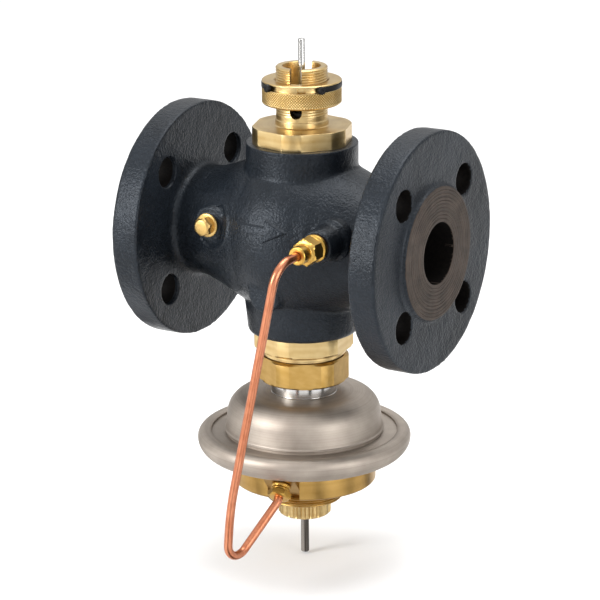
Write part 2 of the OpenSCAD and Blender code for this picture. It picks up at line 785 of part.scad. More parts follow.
module insert_seal() {
    color(rubber_black) at_stem() ring_between(insert_z + spigot_seal_edge + joint_gap,
        insert_z + spigot_seal_edge + spigot_seal_h - joint_gap, spigot_r, spigot_r - spigot_seal_t + joint_gap);
}

module insert_stem_seal() {
    seal_top_z = insert_z + insert_spigot_h - packing_floor_t;
    color(rubber_black) at_stem() ring_between(seal_top_z - insert_seal_h, seal_top_z,
        insert_seal_d / 2 - joint_gap, regulator_stem_d / 2 + running_gap);
}

module regulator_seat() {
    color(stainless) at_stem() rotate([180, 0, 0]) seat_ring(regulator_seat_bore_d);
}

module regulator_plug() {
    color(stainless) at_stem() translate([0, 0, regulator_plug_z]) rotate([180, 0, 0]) difference() {
        union() {
            cylinder(d = regulator_plug_d, h = plug_disc_t);
            translate([0, 0, plug_disc_t]) cylinder(d = plug_hub_d, h = plug_hub_h);
        }
        translate([0, 0, plug_disc_t / 2])
            cylinder(r = regulator_stem_d / 2 + joint_gap, h = plug_disc_t + plug_hub_h);
    }
}

module regulator_stem() {
    pin_r = lower_pin_d / 2;
    rod_r = lower_rod_d / 2;
    stem_r = regulator_stem_d / 2;
    pin_chamfer = lower_pin_d / 8;
    rod_foot_z = collar_foot_z - stop_gap;
    shoulder_z = diaphragm_foot_z - diaphragm_plate_t - joint_gap;
    top_z = regulator_plug_z - plug_disc_t / 2;
    color(bright_steel) at_stem() rotate_extrude() polygon([
        [0, pin_foot_z], [pin_r - pin_chamfer, pin_foot_z], [pin_r, pin_foot_z + pin_chamfer],
        [pin_r, rod_foot_z], [rod_r, rod_foot_z], [rod_r, shoulder_z], [stem_r, shoulder_z],
        [stem_r, top_z], [0, top_z]]);
}

module union_nut() {
    thread_r = union_thread_d / 2 + joint_gap;
    color(brass) at_stem() difference() {
        translate([0, 0, union_nut_foot_z]) disc_with_flats(union_nut_d, union_nut_af, union_nut_h, union_nut_turn);
        between(union_lip_z, union_nut_z + cut) circle(r = thread_r);
        between(union_nut_foot_z - cut, union_lip_z + cut) circle(r = unit_neck_d / 2 + joint_gap);
    }
}

module union_gasket() {
    color(fibre_grey) at_stem() ring_between(unit_neck_z, union_thread_z,
        union_thread_d / 2 - joint_gap, unit_neck_bore_d / 2);
}

module unit_neck() {
    color(bright_steel) at_stem() {
        ring_between(union_lip_z, unit_neck_z, union_thread_d / 2 - joint_gap, unit_neck_bore_d / 2);
        ring_between(bell_inside_z, union_lip_z, unit_neck_d / 2, unit_neck_bore_d / 2);
    }
}

// Deep drawn upper housing: flat top, round shoulder and a slightly flared skirt
module upper_housing() {
    side_r = bell_d / 2;
    foot_r = bell_foot_d / 2;
    shoulder_r = side_r - bell_shoulder_r;
    shoulder_z = bell_z - bell_shoulder_r;
    hole_r = unit_neck_d / 2 + joint_gap;
    outside = arc_points([shoulder_r, shoulder_z], bell_shoulder_r, 90, 0, 8);
    inside = arc_points([shoulder_r, shoulder_z], bell_shoulder_r - housing_sheet_t, 0, 90, 8);
    color(stainless) at_stem() rotate_extrude() polygon(concat(
        [[hole_r, bell_inside_z], [hole_r, bell_z]], outside,
        [[foot_r, bell_foot_z], [foot_r - housing_sheet_t, bell_foot_z]], inside));
}

module clamp_ring() {
    color(stainless) at_stem() {
        ring_between(clamp_plate_z, bell_foot_z, clamp_step_d / 2, clamp_opening_d / 2);
        ring_between(clamp_foot_z, clamp_plate_z, diaphragm_d / 2, clamp_opening_d / 2);
    }
}

module diaphragm() {
    mid_z = (diaphragm_z + diaphragm_foot_z) / 2;
    half_t = diaphragm_t / 2;
    fold_r = clamp_opening_d / 2 - diaphragm_fold_r - diaphragm_t;
    hole_r = regulator_stem_d / 2 + joint_gap;
    fold_turn = asin(diaphragm_t / (diaphragm_fold_r + half_t));
    color(rubber_black) at_stem() rotate_extrude() polygon(concat(
        [[hole_r, mid_z + half_t]],
        arc_points([fold_r, mid_z + half_t], diaphragm_fold_r - half_t, 180, 360, 8),
        [[diaphragm_d / 2, mid_z + half_t], [diaphragm_d / 2, mid_z - half_t]],
        arc_points([fold_r, mid_z + half_t], diaphragm_fold_r + half_t, 360 - fold_turn, 180 + fold_turn, 8),
        [[hole_r, mid_z - half_t]]));
}

module upper_plate() {
    color(bright_steel) at_stem() ring_between(diaphragm_z, diaphragm_z + diaphragm_plate_t,
        diaphragm_plate_d / 2, regulator_stem_d / 2 + joint_gap);
}

module lower_plate() {
    color(bright_steel) at_stem() ring_between(diaphragm_foot_z - diaphragm_plate_t, diaphragm_foot_z,
        diaphragm_plate_d / 2, regulator_stem_d / 2 + joint_gap);
}

module regulator_spring() {
    color(bright_steel) at_stem() spring_wire(regulator_spring_d / 2, regulator_spring_wire,
        diaphragm_z + diaphragm_plate_t + stop_gap, bell_inside_z - stop_gap, regulator_spring_turns);
}

// Lower housing: its edge is rolled over the clamp ring and holds the diaphragm
module lower_housing() {
    roll_r = rim_d / 2 - rim_roll_r;
    under_r = rim_d / 2 - rim_under_r;
    lip_r = roll_r - rim_lip_shift;
    lip_turn = 90 + asin(rim_lip_shift / rim_roll_r);
    // The under side starts a little below the widest point, so that the two arcs don't double there
    under_turn = 90 / under_steps;
    color(stainless) at_stem() rotate_extrude() polygon(concat(
        [[lip_r, clamp_plate_z + joint_gap]],
        arc_points([roll_r, rim_z], rim_roll_r, lip_turn, 0, 8),
        arc_points([under_r, rim_z], rim_under_r, -under_turn, -90, under_steps),
        [[under_opening_d / 2, base_z], [under_opening_d / 2, base_z + under_floor_t],
            [under_space_d / 2 - under_floor_t, base_z + under_floor_t],
            [under_space_d / 2, base_z + 2 * under_floor_t],
            [under_space_d / 2, diaphragm_foot_z - joint_gap], [rim_clamp_r, diaphragm_foot_z - joint_gap],
            [rim_clamp_r, clamp_plate_z + joint_gap]]));
}

module base_housing() {
    screw_z = thread_foot_z + collar_screw_h + joint_gap;
    pin_hole_r = lower_rod_d / 2 + running_gap;
    color(brass) at_stem() difference() {
        union() {
            translate([0, 0, base_foot_z]) cylinder(d1 = base_d - 2 * base_chamfer, d2 = base_d, h = base_chamfer);
            between(base_foot_z + base_chamfer, base_z) circle(d = base_d);
            between(thread_foot_z, base_foot_z) circle(d = base_thread_d);
            translate([-stem_x, 0, 0]) lower_boss();
        }
        between(base_z - base_space_h, base_z + cut) circle(d = base_space_d);
        between(thread_foot_z - cut, base_z) circle(r = pin_hole_r);
        between(screw_z - joint_gap, screw_z + pin_seal_h) circle(d = pin_seal_d);
        between(thread_foot_z - cut, screw_z) circle(r = collar_screw_d / 2 + joint_gap);
        translate([-stem_x, 0, 0]) at_lower_fitting() {
            translate([-lower_boss_drop, -lower_boss_w / 2, 0]) cube([2 * lower_boss_drop, lower_boss_w, base_h]);
            translate([0, 0, -lower_screw_h]) cylinder(d = tapping_drill_d, h = lower_screw_h + cut);
        }
        rotate(front + lower_fitting_turn)
            translate([base_space_d / 2 - cut, 0, base_z - lower_boss_drop / 2]) rotate([0, 90, 0])
                cylinder(d = base_passage_d, h = lower_boss_reach - lower_screw_h / 2 - base_space_d / 2);
    }
}

// Wedge boss on the base: its face is square to the lower fitting
module lower_boss() {
    intersection() {
        at_lower_fitting() translate([-base_h, -lower_boss_w / 2, -base_h])
            cube([2 * base_h, lower_boss_w, base_h]);
        at_stem() between(base_foot_z + base_chamfer, base_z - lower_boss_drop + lower_screw_h)
            circle(r = lower_boss_reach + base_h);
    }
}

module pin_seal() {
    seal_z = thread_foot_z + collar_screw_h + joint_gap;
    color(rubber_black) at_stem() ring_between(seal_z, seal_z + pin_seal_h - joint_gap,
        pin_seal_d / 2 - joint_gap, lower_rod_d / 2 + running_gap);
}

module fluted_collar() {
    color(brass) at_stem() difference() {
        union() {
            between(collar_foot_z, thread_foot_z) circle(d = fluted_collar_d);
            between(thread_foot_z, thread_foot_z + collar_screw_h) circle(d = collar_screw_d);
        }
        between(collar_foot_z - cut, thread_foot_z + collar_screw_h + cut)
            circle(r = lower_rod_d / 2 + running_gap);
        for (i = [0:flutes - 1]) rotate(front + 360 * i / flutes + 180 / flutes)
            translate([fluted_collar_d / 2, 0, collar_foot_z - cut])
                cylinder(d = flute_w, h = fluted_collar_h + cut);
    }
}

module connector_washer() {
    color(copper) at_tapping(1) ring_between(0, washer_t, washer_d / 2, tapping_drill_d / 2 + joint_gap);
}

module upper_connector() {
    socket_z = washer_t + connector_h;
    nipple_h = tube_nut_hex_h / 2;
    color(brass) at_tapping(1) difference() {
        union() {
            translate([0, 0, washer_t]) cylinder(r = connector_af / sqrt(3), h = connector_h, $fn = 6);
            between(-port_screw_h, washer_t) circle(r = tapping_drill_d / 2 - joint_gap);
            between(socket_z, socket_z + nipple_h) circle(r = nut_hole_r - joint_gap);
        }
        between(-port_screw_h - cut, socket_z) circle(r = tube_r - tube_wall);
        between(socket_z - nipple_h, socket_z + nipple_h + cut) circle(r = tube_hole_r);
    }
}

module tube_nut(hex_af, hex_h, end_d, end_h, cavity_h) {
    difference() {
        union() {
            cylinder(r = hex_af / sqrt(3), h = hex_h, $fn = 6);
            translate([0, 0, hex_h]) cylinder(d = end_d, h = end_h);
        }
        translate([0, 0, -cut]) cylinder(r = nut_hole_r, h = cavity_h + cut);
        translate([0, 0, -cut]) cylinder(r = tube_hole_r, h = hex_h + end_h + 2 * cut);
    }
}

module upper_tube_nut() {
    color(brass) at_tapping(1) translate([0, 0, washer_t + connector_h])
        tube_nut(tube_nut_af, tube_nut_hex_h, tube_nut_end_d, tube_nut_end_h,
            tube_nut_hex_h / 2 + ferrule_h + 2 * joint_gap);
}

module upper_ferrule() {
    ferrule_z = washer_t + connector_h + tube_nut_hex_h / 2 + joint_gap;
    color(brass) at_tapping(1) ring_between(ferrule_z, ferrule_z + ferrule_h, ferrule_r, tube_hole_r);
}

module lower_connector() {
    nipple_h = lower_nut_h - nut_cap_t - ferrule_h - 2 * joint_gap;
    color(brass) at_lower_fitting() difference() {
        union() {
            between(0, lower_barrel_h) circle(d = lower_barrel_d);
            between(-lower_screw_h, 0) circle(r = tapping_drill_d / 2 - joint_gap);
            between(lower_barrel_h, lower_barrel_h + nipple_h) circle(r = nut_hole_r - joint_gap);
        }
        between(-lower_screw_h - cut, lower_barrel_h) circle(r = tube_r - tube_wall);
        between(lower_barrel_h / 2, lower_barrel_h + nipple_h + cut) circle(r = tube_hole_r);
    }
}

module lower_tube_nut() {
    color(brass) at_lower_fitting() translate([0, 0, lower_barrel_h])
        tube_nut(lower_nut_af, lower_nut_h - nut_cap_t, lower_nut_af, nut_cap_t, lower_nut_h - nut_cap_t);
}

module lower_ferrule() {
    ferrule_z = lower_barrel_h + lower_nut_h - nut_cap_t - ferrule_h - joint_gap;
    color(brass) at_lower_fitting() ring_between(ferrule_z, ferrule_z + ferrule_h, ferrule_r, tube_hole_r);
}

module placed(u, v, w, at) {
    multmatrix([[u[0], v[0], w[0], at[0]], [u[1], v[1], w[1], at[1]], [u[2], v[2], w[2], at[2]], [0, 0, 0, 1]])
        children();
}

module tube_section(extra) {
    difference() {
        circle(r = tube_r + extra, $fn = 32);
        circle(r = tube_r - tube_wall - extra, $fn = 32);
    }
}

// A straight run of tube from a to b, turned so that its section lines up with the bend beside it
module tube_run(a, b, side) {
    w = unit(b - a);
    placed(cross(side, w), side, w, a) linear_extrude(height = norm(b - a)) tube_section(0);
}

// A bend of radius bend_r that rounds the corner b between the runs a to b and b to c
module tube_bend(a, b, c, bend_r) {
    angle = turn_angle(a, b, c);
    start = b + unit(a - b) * tangent_length(a, b, c, bend_r);
    centre = b + unit(unit(a - b) + unit(c - b)) * bend_r / cos(angle / 2);
    u = unit(start - centre);
    v = unit(b - a);
    w = cross(u, v);
    placed(u, v, w, centre) rotate_extrude(angle = angle) translate([bend_r, 0]) tube_section(bend_swell);
}

// The tube through its corners, rounded with one radius per corner
module bent_tube(points, bends) {
    last = len(points) - 1;
    for (i = [0:last - 1]) {
        from = i == 0 ? points[0]
            : points[i] + unit(points[i + 1] - points[i])
                * (tangent_length(points[i - 1], points[i], points[i + 1], bends[i - 1]) - bend_overlap);
        to = i == last - 1 ? points[last]
            : points[i + 1] + unit(points[i] - points[i + 1])
                * (tangent_length(points[i], points[i + 1], points[i + 2], bends[i]) - bend_overlap);
        k = max(1, i);
        tube_run(from, to, unit(cross(points[k] - points[k - 1], points[k + 1] - points[k])));
    }
    for (i = [1:last - 1]) tube_bend(points[i - 1], points[i], points[i + 1], bends[i - 1]);
}

// A point on the axis of the lower fitting, at the distance s from the face of its boss
function lower_axis_point(s) = let (a = front + lower_fitting_turn, reach = lower_boss_reach
    + s * cos(lower_fitting_slope)) [stem_x + reach * cos(a), reach * sin(a),
        base_z - lower_boss_drop - s * sin(lower_fitting_slope)];

module impulse_tube() {
    lower_start = lower_axis_point(lower_barrel_h / 2 + joint_gap);
    lower_corner = lower_axis_point(lower_barrel_h + lower_nut_h + lower_corner_reach);
    upper_start = [stem_x + tapping_offset, upper_nut_y + tube_nut_hex_h / 2 - joint_gap, tapping_h];
    route = [upper_start, upper_corner, knee_corner, loop_corner, lower_corner, lower_start];
    bends = [upper_bend_r, knee_bend_r, loop_bend_r, lower_bend_r];
    color(copper) bent_tube(route, bends);
}

module plug_washer() {
    color(copper) at_tapping(-1) ring_between(0, washer_t / 2, plug_flange_d / 2, tapping_drill_d / 2 + joint_gap);
}

module port_plug() {
    color(brass) at_tapping(-1) {
        between(-port_screw_h, washer_t / 2) circle(r = tapping_drill_d / 2 - joint_gap);
        between(washer_t / 2, washer_t / 2 + plug_flange_t) circle(d = plug_flange_d);
        translate([0, 0, washer_t / 2 + plug_flange_t]) cylinder(r = plug_af / sqrt(3), h = plug_head_h, $fn = 6);
    }
}

valve_body();
bonnet();
bonnet_seal();
stem_packing();
packing_gland();
control_seat();
control_plug();
control_stem();
control_spring();
stroke_limiter();
setting_ring();
lock_clip();
valve_insert();
insert_seal();
insert_stem_seal();
regulator_seat();
regulator_plug();
regulator_stem();
union_nut();
union_gasket();
unit_neck();
upper_housing();
clamp_ring();
diaphragm();
upper_plate();
lower_plate();
regulator_spring();
lower_housing();
base_housing();
pin_seal();
fluted_collar();
connector_washer();
upper_connector();
upper_tube_nut();
upper_ferrule();
impulse_tube();
lower_connector();
lower_tube_nut();
lower_ferrule();
plug_washer();
port_plug();
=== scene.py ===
import math
import bpy
import bmesh
import numpy as np
from mathutils import Matrix, Vector, noise


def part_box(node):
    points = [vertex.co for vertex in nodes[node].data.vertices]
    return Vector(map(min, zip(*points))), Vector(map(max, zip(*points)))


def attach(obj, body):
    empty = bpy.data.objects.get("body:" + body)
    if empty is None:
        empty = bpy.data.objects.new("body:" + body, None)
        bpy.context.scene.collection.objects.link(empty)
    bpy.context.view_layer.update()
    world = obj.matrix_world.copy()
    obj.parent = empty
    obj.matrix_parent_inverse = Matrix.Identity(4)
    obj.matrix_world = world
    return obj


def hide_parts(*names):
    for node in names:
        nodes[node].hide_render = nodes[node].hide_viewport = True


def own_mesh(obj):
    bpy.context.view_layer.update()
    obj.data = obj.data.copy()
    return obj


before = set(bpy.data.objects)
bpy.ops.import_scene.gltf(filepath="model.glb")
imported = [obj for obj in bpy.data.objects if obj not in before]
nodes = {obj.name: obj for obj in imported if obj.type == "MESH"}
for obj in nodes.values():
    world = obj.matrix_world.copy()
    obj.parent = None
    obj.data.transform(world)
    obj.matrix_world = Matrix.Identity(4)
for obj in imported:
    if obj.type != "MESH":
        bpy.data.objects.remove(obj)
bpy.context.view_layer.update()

# Sizes are in millimetres, in the frame of the CAD, unless a line says metres
MM = 0.001
TURN = 2 * math.pi
STEM = 90.0                    # the stem's axis, measured along the pipe
BOLT = 35.355                  # a flange's bolt hole, across and above the pipe's axis
TAP_OUT, TAP_UP = 39.5, 9.2    # the two tapped bosses, beside the stem and above the pipe's axis
FLOOR = -0.2                   # metres

# ---------------------------------------------------------------- camera
# Found by fitting the flange circles, the bolt holes and the stem to the picture
azimuth, elevation, roll = math.radians(30.985), math.radians(16.789), math.radians(-0.439)
back = Vector((math.sin(azimuth) * math.cos(elevation), -math.cos(azimuth) * math.cos(elevation),
               math.sin(elevation)))
right = Vector((0, 0, 1)).cross(back).normalized()
up = back.cross(right)
right, up = right * math.cos(roll) + up * math.sin(roll), up * math.cos(roll) - right * math.sin(roll)
focal_pixels, picture_pixels, sensor = 2852.97, 600, 36
eye = Vector((STEM * MM, 0, 0)) + back * 1.66248 - right * 0.001636 - up * 0.039176
camera = bpy.data.objects.new("camera", bpy.data.cameras.new("camera"))
bpy.context.scene.collection.objects.link(camera)
camera.data.lens = focal_pixels / picture_pixels * sensor
camera.data.sensor_width = sensor
camera.data.clip_end = 50
camera.matrix_world = Matrix((
    (right.x, up.x, back.x, eye.x), (right.y, up.y, back.y, eye.y),
    (right.z, up.z, back.z, eye.z), (0, 0, 0, 1)))
bpy.context.scene.camera = camera


# ---------------------------------------------------------------- finishes
def paint(code):
    """sRGB hex code to linear red, green, blue and alpha."""
    parts = [int(code[i:i + 2], 16) / 255 for i in (1, 3, 5)]
    return tuple(c / 12.92 if c <= 0.04045 else ((c + 0.055) / 1.055) ** 2.4 for c in parts) + (1.0,)


def add(tree, kind, links=None, **settings):
    """Adds one node. A link's value is a number, a colour, or (node, its output)."""
    node = tree.nodes.new(kind)
    for key, value in settings.items():
        setattr(node, key, value)
    for key, value in (links or {}).items():
        if isinstance(value, tuple) and len(value) == 2 and hasattr(value[0], "outputs"):
            tree.links.new(value[0].outputs[value[1]], node.inputs[key])
        else:
            node.inputs[key].default_value = value
    return node


def finish(name, code, metallic, roughness, **constants):
    """A new material with its shader: (material, tree, shader)."""
    made = bpy.data.materials.new(name)
    made.use_nodes = True
    tree = made.node_tree
    shader = tree.nodes["Principled BSDF"]
    shader.inputs["Base Color"].default_value = paint(code)
    shader.inputs["Metallic"].default_value = metallic
    shader.inputs["Roughness"].default_value = roughness
    for key, value in constants.items():
        shader.inputs[key.replace("_", " ")].default_value = value
    return made, tree, shader


def lathe_marks(tree, origin, axis):
    """Coordinates (distance from an axis, 0, height along it) in metres, for marks that a lathe leaves."""
    place = add(tree, "ShaderNodeTexCoord")
    off = add(tree, "ShaderNodeVectorMath", {0: (place, "Object"), 1: [c * MM for c in origin]},
              operation="SUBTRACT")
    height = add(tree, "ShaderNodeVectorMath", {0: (off, "Vector"), 1: list(axis)}, operation="DOT_PRODUCT")
    along = add(tree, "ShaderNodeVectorMath", {0: list(axis), "Scale": (height, "Value")}, operation="SCALE")
    across = add(tree, "ShaderNodeVectorMath", {0: (off, "Vector"), 1: (along, "Vector")},
                 operation="SUBTRACT")
    reach = add(tree, "ShaderNodeVectorMath", {0: (across, "Vector")}, operation="LENGTH")
    return add(tree, "ShaderNodeCombineXYZ", {"X": (reach, "Value"), "Z": (height, "Value")})


def two_tone(tree, shader, field, low, high, first, second):
    """Base colour that runs from one sRGB code to another with a field."""
    ramp = add(tree, "ShaderNodeValToRGB", {"Fac": field})
    ramp.color_ramp.elements[0].position = low
    ramp.color_ramp.elements[1].position = high
    ramp.color_ramp.elements[0].color = paint(first)
    ramp.color_ramp.elements[1].color = paint(second)
    tree.links.new(ramp.outputs["Color"], shader.inputs["Base Color"])


def uneven(tree, shader, field, low, high):
    """Roughness that runs from low to high with a field."""
    spread = add(tree, "ShaderNodeMapRange", {"Value": field, "To Min": low, "To Max": high})
    tree.links.new(spread.outputs["Result"], shader.inputs["Roughness"])


def relief(tree, shader, layers):
    """Bump of several fields, each given with its strength and its depth in metres."""
    below = None
    for field, strength, depth in layers:
        links = {"Height": field, "Strength": strength, "Distance": depth}
        if below:
            links["Normal"] = (below, "Normal")
        below = add(tree, "ShaderNodeBump", links)
    tree.links.new(below.outputs["Normal"], shader.inputs["Normal"])


def painted_iron():
    """Ductile iron cast in sand under a satin two-pack paint. The grain of the sand, about 1 mm,
    shows through the paint as fine bumps that break every highlight."""
    made, tree, shader = finish("satin_paint_on_sand_cast_iron", "#171B20", 0.0, 0.5, Specular_IOR_Level=0.3,
                                Specular_Tint=paint("#E6EEF8"))
    place = add(tree, "ShaderNodeTexCoord")
    sand = add(tree, "ShaderNodeTexNoise", {"Vector": (place, "Object"), "Scale": 1 / (1.3 * MM),
                                            "Detail": 2.0, "Roughness": 0.6})
    lumps = add(tree, "ShaderNodeTexNoise", {"Vector": (place, "Object"), "Scale": 1 / (4.5 * MM),
                                             "Detail": 2.0})
    cloud = add(tree, "ShaderNodeTexNoise", {"Vector": (place, "Object"), "Scale": 1 / (38 * MM),
                                             "Detail": 3.0})
    both = add(tree, "ShaderNodeMath", {0: (sand, "Fac"), 1: (cloud, "Fac")}, operation="ADD")
    half = add(tree, "ShaderNodeMath", {0: (both, "Value"), 1: 0.5}, operation="MULTIPLY")
    two_tone(tree, shader, (half, "Value"), 0.38, 0.64, "#0B0E12", "#1E2329")
    uneven(tree, shader, (lumps, "Fac"), 0.24, 0.38)
    relief(tree, shader, [((lumps, "Fac"), 0.5, 0.0007), ((sand, "Fac"), 1.0, 0.00042)])
    return made


def faced_iron():
    """The same iron cut on a lathe and left bare: brown grey, with the tool's rings about 1.1 mm apart."""
    made, tree, shader = finish("faced_iron_inlet", "#4A423C", 0.3, 0.5, Specular_IOR_Level=0.3)
    marks = lathe_marks(tree, (0, 0, 0), (1, 0, 0))
    place = add(tree, "ShaderNodeTexCoord")
    rings = add(tree, "ShaderNodeTexNoise", {"Vector": (marks, "Vector"), "Scale": 1 / (1.1 * MM),
                                             "Detail": 2.0, "Roughness": 0.7})
    rust = add(tree, "ShaderNodeTexNoise", {"Vector": (place, "Object"), "Scale": 1 / (9 * MM),
                                            "Detail": 5.0, "Roughness": 0.65})
    both = add(tree, "ShaderNodeMath", {0: (rings, "Fac"), 1: (rust, "Fac")}, operation="ADD")
    half = add(tree, "ShaderNodeMath", {0: (both, "Value"), 1: 0.5}, operation="MULTIPLY")
    two_tone(tree, shader, (half, "Value"), 0.36, 0.64, "#2A231E", "#4E433B")
    uneven(tree, shader, (rings, "Fac"), 0.38, 0.6)
    relief(tree, shader, [((rings, "Fac"), 0.5, 0.0002)])
    return made


def brass(name, origin, axis, dark="#BB9A60", light="#DCC593", low=0.26, high=0.38):
    """Free-cutting brass, turned or milled and left bare: pale yellow, bright, with fine tool lines
    about 0.25 mm apart, drawn at 0.4 mm so that they show."""
    made, tree, shader = finish(name, light, 1.0, 0.25)
    marks = lathe_marks(tree, origin, axis)
    place = add(tree, "ShaderNodeTexCoord")
    lines = add(tree, "ShaderNodeTexNoise", {"Vector": (marks, "Vector"), "Scale": 1 / (0.4 * MM),
                                             "Detail": 2.0, "Roughness": 0.7})
    bands = add(tree, "ShaderNodeTexNoise", {"Vector": (marks, "Vector"), "Scale": 1 / (3.5 * MM),
                                             "Detail": 1.0})
    cloud = add(tree, "ShaderNodeTexNoise", {"Vector": (place, "Object"), "Scale": 1 / (11 * MM),
                                             "Detail": 4.0, "Roughness": 0.6})
    both = add(tree, "ShaderNodeMath", {0: (cloud, "Fac"), 1: (bands, "Fac")}, operation="ADD")
    half = add(tree, "ShaderNodeMath", {0: (both, "Value"), 1: 0.5}, operation="MULTIPLY")
    two_tone(tree, shader, (half, "Value"), 0.26, 0.74, dark, light)
    uneven(tree, shader, (cloud, "Fac"), low, high)
    relief(tree, shader, [((lines, "Fac"), 0.22, 0.00008)])
    return made


def steel(name, code_dark, code_light, low, high, line_mm, depth, origin=(STEM, 0, 0), axis=(0, 0, 1)):
    """Steel, drawn or turned, with the round lines that the tool or the brush leaves about its axis. Lines
    that are finer than 0.5 mm in life are drawn at 0.5 mm so that they show."""
    made, tree, shader = finish(name, code_light, 1.0, 0.3)
    marks = lathe_marks(tree, origin, axis)
    place = add(tree, "ShaderNodeTexCoord")
    lines = add(tree, "ShaderNodeTexNoise", {"Vector": (marks, "Vector"), "Scale": 1 / (line_mm * MM),
                                             "Detail": 3.0, "Roughness": 0.7})
    cloud = add(tree, "ShaderNodeTexNoise", {"Vector": (place, "Object"), "Scale": 1 / (16 * MM),
                                             "Detail": 4.0, "Roughness": 0.55})
    both = add(tree, "ShaderNodeMath", {0: (cloud, "Fac"), 1: (lines, "Fac")}, operation="ADD")
    half = add(tree, "ShaderNodeMath", {0: (both, "Value"), 1: 0.5}, operation="MULTIPLY")
    two_tone(tree, shader, (half, "Value"), 0.34, 0.66, code_dark, code_light)
    uneven(tree, shader, (half, "Value"), low, high)
    relief(tree, shader, [((lines, "Fac"), 0.2, depth)])
    return made


def drawn_copper():
    """Soft copper tube, drawn and bent by hand: salmon pink with faint brown patches of handling and
    fine lines along its length."""
    made, tree, shader = finish("soft_drawn_copper", "#D98A68", 1.0, 0.3)
    place = add(tree, "ShaderNodeTexCoord")
    stretch = add(tree, "ShaderNodeVectorMath", {0: (place, "Object"), 1: [1.0, 1.0, 0.12]},
                  operation="MULTIPLY")
    streaks = add(tree, "ShaderNodeTexNoise", {"Vector": (stretch, "Vector"), "Scale": 1 / (0.8 * MM),
                                               "Detail": 3.0})
    patches = add(tree, "ShaderNodeTexNoise", {"Vector": (place, "Object"), "Scale": 1 / (7 * MM),
                                               "Detail": 4.0, "Roughness": 0.6})
    both = add(tree, "ShaderNodeMath", {0: (streaks, "Fac"), 1: (patches, "Fac")}, operation="ADD")
    half = add(tree, "ShaderNodeMath", {0: (both, "Value"), 1: 0.5}, operation="MULTIPLY")
    two_tone(tree, shader, (half, "Value"), 0.3, 0.7, "#B66A4A", "#DC9674")
    uneven(tree, shader, (patches, "Fac"), 0.27, 0.36)
    relief(tree, shader, [((patches, "Fac"), 0.1, 0.0003)])
    return made


def ground_pin():
    """Hardened steel pin, ground lengthwise: dark grey with pale lines about 0.8 mm wide along it, grinding
    marks drawn with the contrast of painted reflection streaks.
    """
    made, tree, shader = finish("hardened_ground_steel", "#8A8682", 1.0, 0.25)
    place = add(tree, "ShaderNodeTexCoord")
    stretch = add(tree, "ShaderNodeVectorMath", {0: (place, "Object"), 1: [1.0, 1.0, 0.01]},
                  operation="MULTIPLY")
    lines = add(tree, "ShaderNodeTexNoise", {"Vector": (stretch, "Vector"), "Scale": 1 / (1.5 * MM),
                                             "Detail": 2.0})
    two_tone(tree, shader, (lines, "Fac"), 0.42, 0.6, "#45413E", "#B4AFAA")
    uneven(tree, shader, (lines, "Fac"), 0.18, 0.3)
    return made


def dull(name, first, second, low, high, grain_mm, depth, metallic=0.0, **constants):
    """A plain moulded or pressed finish: rubber, plastic, fibre sheet or wire."""
    made, tree, shader = finish(name, second, metallic, low, **constants)
    place = add(tree, "ShaderNodeTexCoord")
    grain = add(tree, "ShaderNodeTexNoise", {"Vector": (place, "Object"), "Scale": 1 / (grain_mm * MM),
                                             "Detail": 4.0, "Roughness": 0.6})
    two_tone(tree, shader, (grain, "Fac"), 0.35, 0.65, first, second)
    uneven(tree, shader, (grain, "Fac"), low, high)
    relief(tree, shader, [((grain, "Fac"), 0.25, depth)])
    return made


stem_axis = ((STEM, 0, 0), (0, 0, 1))
PAINT = painted_iron()
# Bare iron drawn near black with almost no shine: partly its own colour, partly painted shade for holes and
# bores
BARE_IRON_AND_SHADE = dull("bare_cast_iron_with_painted_shade", "#060505", "#110E0C", 0.6, 0.8, 1.6, 0.0005,
                Specular_IOR_Level=0.08)
FACED_IRON = faced_iron()
BRASS = brass("turned_brass", *stem_axis)
MILLED = brass("milled_brass", (STEM, -300, -100), (0.24, 0.12, 0.96), "#A5813F", "#C6A365", 0.28, 0.4)
# Darker brass for the floors of the knurl's grooves: painted shade
SHADED_GROOVE_BRASS = brass("brass_knurl_grooves_painted_shade", *stem_axis, dark="#8A6A34", light="#A98748", low=0.35, high=0.5)
DULL_BRASS = brass("forged_brass_turned", *stem_axis, dark="#927038", light="#B8965A", low=0.28, high=0.42)
FITTING_BRASS = brass("fitting_brass", (STEM + TAP_OUT, 0, TAP_UP), (0, -1, 0), "#B98D3C", "#DDB765",
                      0.24, 0.36)
PLUG_BRASS = brass("plug_brass", (STEM - TAP_OUT, 0, TAP_UP), (0, -1, 0), "#B9924E", "#D9BA7C",
                   0.3, 0.42)
SATIN = steel("satin_deep_drawn_stainless", "#9C9187", "#B9AFA4", 0.46, 0.58, 0.5, 0.00006)
BRIGHT = steel("bright_turned_steel", "#A9A7A4", "#D5D4D2", 0.1, 0.24, 0.5, 0.00005)
STAINLESS = steel("turned_stainless", "#A3A09B", "#C4C1BC", 0.2, 0.34, 0.5, 0.00006)
WIRE = dull("drawn_spring_wire", "#6E6E6C", "#8E8E8B", 0.25, 0.4, 1.0, 0.0001, 1.0)
DARK_STEEL = ground_pin()
# Near-black steel for the stem's collar: painted shade for the dark inside of the slot
NEAR_BLACK_SHADE_STEEL = dull("steel_darkened_as_painted_shade", "#131212", "#1F1D1C", 0.35, 0.5, 2.0, 0.0001, 0.6)
COPPER = drawn_copper()
BLACK = dull("moulded_black_plastic", "#070708", "#111113", 0.38, 0.5, 0.8, 0.0001,
             Specular_IOR_Level=0.25)
RUBBER = dull("moulded_rubber", "#17181A", "#232427", 0.55, 0.75, 0.7, 0.0001)
FIBRE = dull("pressed_fibre_sheet", "#6C6C66", "#83837C", 0.7, 0.85, 0.6, 0.0002)


